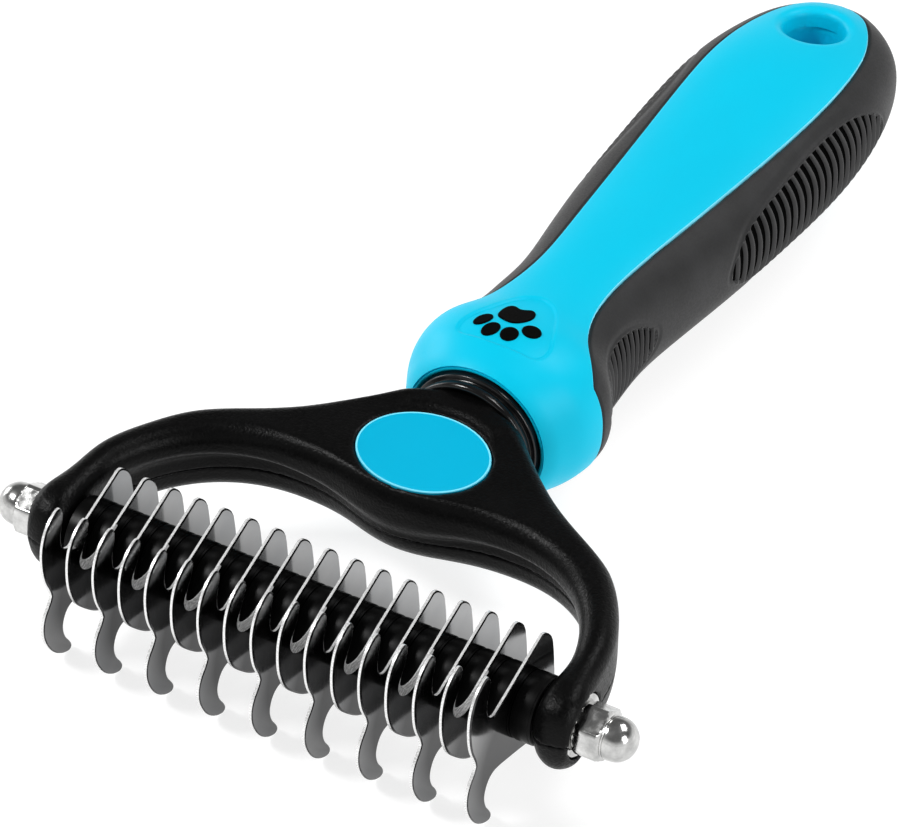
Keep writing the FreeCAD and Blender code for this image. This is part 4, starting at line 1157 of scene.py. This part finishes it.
def thick(points, triangles):
    """A closed shell: the skin, its copy one wall further in, and the sides between them."""
    used, number = np.unique(triangles, return_inverse=True)
    triangles = number.reshape(-1, 3)
    outer, inner = points[used], points[used] - skin[used, NORMAL] * SKIN_WALL
    count = len(outer)
    edges = np.vstack([triangles[:, [0, 1]], triangles[:, [1, 2]], triangles[:, [2, 0]]])
    key = np.sort(edges, axis=1)
    _, first, times = np.unique(key, axis=0, return_index=True, return_counts=True)
    rim = edges[first[times == 1]]
    sides = np.column_stack([rim[:, 1], rim[:, 0], rim[:, 0] + count, rim[:, 1] + count])
    faces = triangles.tolist() + (triangles[:, ::-1] + count).tolist() + sides.tolist()
    groups = [0] * len(triangles) + [1] * len(triangles) + [2] * len(sides)
    return np.vstack([outer, inner]), faces, groups


skin, skin_faces = handle_skin()
skin = measure(skin)
for column, levels in CUTS:
    for level in levels:
        skin, skin_faces = split_at(skin, skin_faces, column, level)

shape = shaped(skin)
middle_edge = skin[skin_faces, EDGE].mean(axis=1)
middle_hole = skin[skin_faces, HOLE].mean(axis=1)
solid = middle_hole > HOLE_RADIUS
core_faces = skin_faces[solid & (middle_edge < 0)]
grip_faces = skin_faces[solid & (middle_edge > 0)]

grip_points, grip_all, grip_groups = thick(shape, grip_faces)
groove_level = rib_depth(skin[:, Y], skin[:, OVAL])[grip_faces].mean(axis=1) / GROOVE_DEPTH
within_oval = skin[grip_faces, OVAL].mean(axis=1) < RIBBED_INSIDE
grip_slots = np.zeros(len(grip_all), int)
# slot 1, the ribbed area, is a painted highlight; slot 2, the deeper part of the grooves, is
# painted shade
grip_slots[:len(grip_faces)] = np.where(groove_level > GROOVE_SHARE, 2, within_oval)
make_piece(
    "grip_overmould", grip_points, grip_all, [GRIP_BLACK, RIB_HIGHLIGHT_BLACK, GROOVE_SHADE_AND_PAW_BLACK], TOOL,
    ["handle_grip"], grip_groups, grip_slots,
)


def hole_lining():
    """The hanging hole's wall, from the dish at the top to the underside: points and faces."""
    angles = circle_angles(LINING_AROUND)
    heights = []
    for upper in (True, False):
        near = abs(skin[:, HOLE] - HOLE_RADIUS) < 1e-6
        near &= (skin[:, NZ] > 0) == upper
        at = np.arctan2(skin[near, Y] - HOLE_BACK, skin[near, X])
        heights.append(np.interp(angles, at, shape[near, Z], period=TURN))
    top, bottom = heights
    # down the wall, and back up behind it
    loops = [
        np.column_stack([
            circle(radius, LINING_AROUND) + [0, HOLE_BACK], bottom + (top - bottom) * t,
        ])
        for radius, levels in ((HOLE_RADIUS, (1, 0.8, 0.5, 0.2, 0)), (LINING_RADIUS, (0.02, 0.98)))
        for t in levels
    ]
    return np.vstack(loops), tube_faces(len(loops), LINING_AROUND, closed=True)


def joined(*meshes):
    """Several meshes as one: points, faces and groups."""
    points, faces, groups = [], [], []
    start = group_start = 0
    for mesh_points, mesh_faces, mesh_groups in meshes:
        points.append(mesh_points)
        faces += [[int(i) + start for i in face] for face in mesh_faces]
        groups += [g + group_start for g in mesh_groups]
        start += len(mesh_points)
        group_start += max(mesh_groups) + 1
    return np.vstack(points), faces, groups


lining_points, lining_faces = hole_lining()
points, faces, groups = joined(
    thick(shape, core_faces), (lining_points, lining_faces, [0] * len(lining_faces)),
    turned_about_neck(MOUTH, AROUND, 60),
)
core_edge = skin[core_faces, EDGE].mean(axis=1)
core_slots = np.zeros(len(faces), int)
# a band just inside the panel's edge gets the pale cyan: a painted highlight
core_slots[:len(core_faces)] = (core_edge > HIGHLIGHT_BAND[0]) & (core_edge < HIGHLIGHT_BAND[1])
make_piece(
    "handle_moulding", points, faces, [HANDLE_CYAN, CYAN_EDGE_HIGHLIGHT], TOOL, ["handle_core"],
    groups, core_slots,
)

# ---- Paw

PAW_PAD = [
    (-3.05, -0.5), (-3.3, 0.5), (-3.3, 1.5), (-3.1, 2.4), (-2.6, 2.95), (-2, 3), (-1.4, 2.75),
    (-0.9, 2.75), (-0.35, 3.05), (0.15, 3.35), (0.7, 3.3), (1.25, 2.7), (1.5, 1.85), (1.45, 0.85),
    (1, -0.25), (0.3, -1.1), (-0.45, -1.45), (-1.35, -1.4), (-2.25, -1.15),
]
PAW_STEP = 0.2
# An inlay's loops, from its foot to its top: inset and height over the recess.
PAW_STEPS = [(0, -0.6), (0, 0.04), (0.03, 0.13), (0.10, 0.18), (0.2, 0.2)]
TOE_AROUND = 48
# Toes: across, back, lean of the long axis in degrees, half length, half width.
PAW_TOES = [
    (-4.3, -2.4, -21, 1.62, 1.08), (-2.1, -4.1, -8, 1.62, 1.22),
    (0.75, -3.85, 10, 1.55, 1.3), (3.05, -1.6, 42, 1.5, 1.4),
]


def pillow(ring):
    """A closed inlay with a rounded top edge, from its outline: points, faces and groups."""
    inward = ring_inward(ring)
    points, faces = capped([
        np.column_stack([ring + inward * inset, np.full(len(ring), z)]) for inset, z in PAW_STEPS
    ])
    if ring_area(ring) < 0:
        faces = [f[::-1] for f in faces]
    return points, faces, [0] * (len(faces) - 2) + [1, 2]


paw_rings = [closed_curve(PAW_PAD, PAW_STEP)]
for across, back, lean, half_long, half_wide in PAW_TOES:
    angle = math.radians(90 + lean)
    c, s = math.cos(angle), math.sin(angle)
    toe = circle(1, TOE_AROUND) * [half_long, half_wide]
    paw_rings.append(toe @ [(c, s), (-s, c)] + [across, back])
points, faces, groups = joined(*[pillow(ring) for ring in paw_rings])
points[:, 1] += RECESS_BACK
points[:, 2] += top_height(points[:, 0], points[:, 1]) - RECESS_DEPTH
# the paw's own black, the same material as the painted groove shade
make_piece("paw_mark", points, faces, GROOVE_SHADE_AND_PAW_BLACK, TOOL, ["paw_inlay"], groups)

# ---- Stage, light and camera

WHITE = (1.0, 1.0, 1.0, 1.0)
FLOOR_HALF = 40.0
# Softboxes: way from the tool's middle and size in metres, power in watts.
SOFTBOXES = {
    "key_left": ((-0.64, -0.50, 0.85), (0.30, 0.22), 9.0),
    "low_left": ((-1.15, 0.20, 0.32), (0.5, 0.45), 3.5),
    "fill_right": ((0.95, -0.25, 0.45), (0.35, 0.5), 4.5),
    "top_back": ((0.40, 0.50, 1.05), (0.6, 0.4), 6.5),
}
SKY = {"From Min": 0.10, "From Max": 0.50, "To Min": 0.95, "To Max": 0.16}
# The camera, solved from the photo: turn to the right, height and roll in degrees, and where it
# is in millimetres from the axle's middle along its own right, up and back.
CAMERA_ANGLES = (29.6767, 37.3511, 1.3939)
CAMERA_SPOT = (18.6688, 27.5409, 741.7419)
CAMERA_LENS = 220.717


def make_floor():
    """Large pale floor under the tool."""
    mesh = bpy.data.meshes.new("studio_floor")
    corners = [(FLOOR_HALF * u, FLOOR_HALF * v, 0) for u, v in ((-1, -1), (1, -1), (1, 1), (-1, 1))]
    mesh.from_pydata(corners, [], [(0, 1, 2, 3)])
    f = Finish("pale_paper", Specular_IOR_Level=0.0, Emission_Strength=0.80)
    f.set({"Emission Color": WHITE})
    f.colour(f.tint(f.noise(3.0, 3.0), (0.30, 0.30, 0.30), (0.32, 0.32, 0.32)))
    f.rough(f.noise(400, 2.0), 0.75, 0.9)
    mesh.materials.append(f.material)
    floor = bpy.data.objects.new("studio_floor", mesh)
    bpy.context.scene.collection.objects.link(floor)


def add_softbox(name, away, size, watts):
    """Rectangular softbox aimed at the tool, placed relative to its middle."""
    middle = (cad_box[0] + cad_box[1]) / 2
    lamp = bpy.data.lights.new(name, "AREA")
    lamp.shape = "RECTANGLE"
    lamp.size, lamp.size_y = size
    lamp.energy = watts
    holder = bpy.data.objects.new(name, lamp)
    holder.location = middle + Vector(away)
    holder.rotation_euler = (-Vector(away)).to_track_quat("-Z", "Y").to_euler()
    bpy.context.scene.collection.objects.link(holder)


def add_sky():
    """World light: bright near the horizon, dim overhead."""
    world = bpy.data.worlds.new("studio")
    world.use_nodes = True
    tree = world.node_tree
    direction = new_node(tree, "TexCoord", {}).outputs["Generated"]
    height = new_node(tree, "SeparateXYZ", {"Vector": direction}).outputs["Z"]
    fade = new_node(tree, "MapRange", {"Value": height, **SKY}, interpolation_type="SMOOTHSTEP")
    light = {"Color": WHITE, "Strength": fade.outputs["Result"]}
    feed(tree, tree.nodes["Background"], light)
    bpy.context.scene.world = world


def add_camera():
    """Long lens from the front, right and above."""
    around, above, roll = (math.radians(v) for v in CAMERA_ANGLES)
    back = Vector((
        math.sin(around) * math.cos(above), -math.cos(around) * math.cos(above), math.sin(above),
    ))
    right = Vector((math.cos(around), math.sin(around), 0))
    up = back.cross(right)
    right, up = (
        right * math.cos(roll) + up * math.sin(roll), up * math.cos(roll) - right * math.sin(roll),
    )
    turn = Matrix((right, up, back)).transposed()
    spot = Vector(AXLE) + turn @ Vector(CAMERA_SPOT) * MM
    lens = bpy.data.cameras.new("camera")
    lens.sensor_fit = "HORIZONTAL"
    lens.sensor_width = 36.0
    lens.lens = CAMERA_LENS
    lens.clip_start, lens.clip_end = 0.01, 100.0
    camera = bpy.data.objects.new("camera", lens)
    camera.matrix_world = Matrix.Translation(spot) @ turn.to_4x4()
    bpy.context.scene.collection.objects.link(camera)
    bpy.context.scene.camera = camera


make_floor()
for name, (away, size, watts) in SOFTBOXES.items():
    add_softbox(name, away, size, watts)
add_sky()
bpy.context.scene.view_settings.view_transform = "Standard"
add_camera()
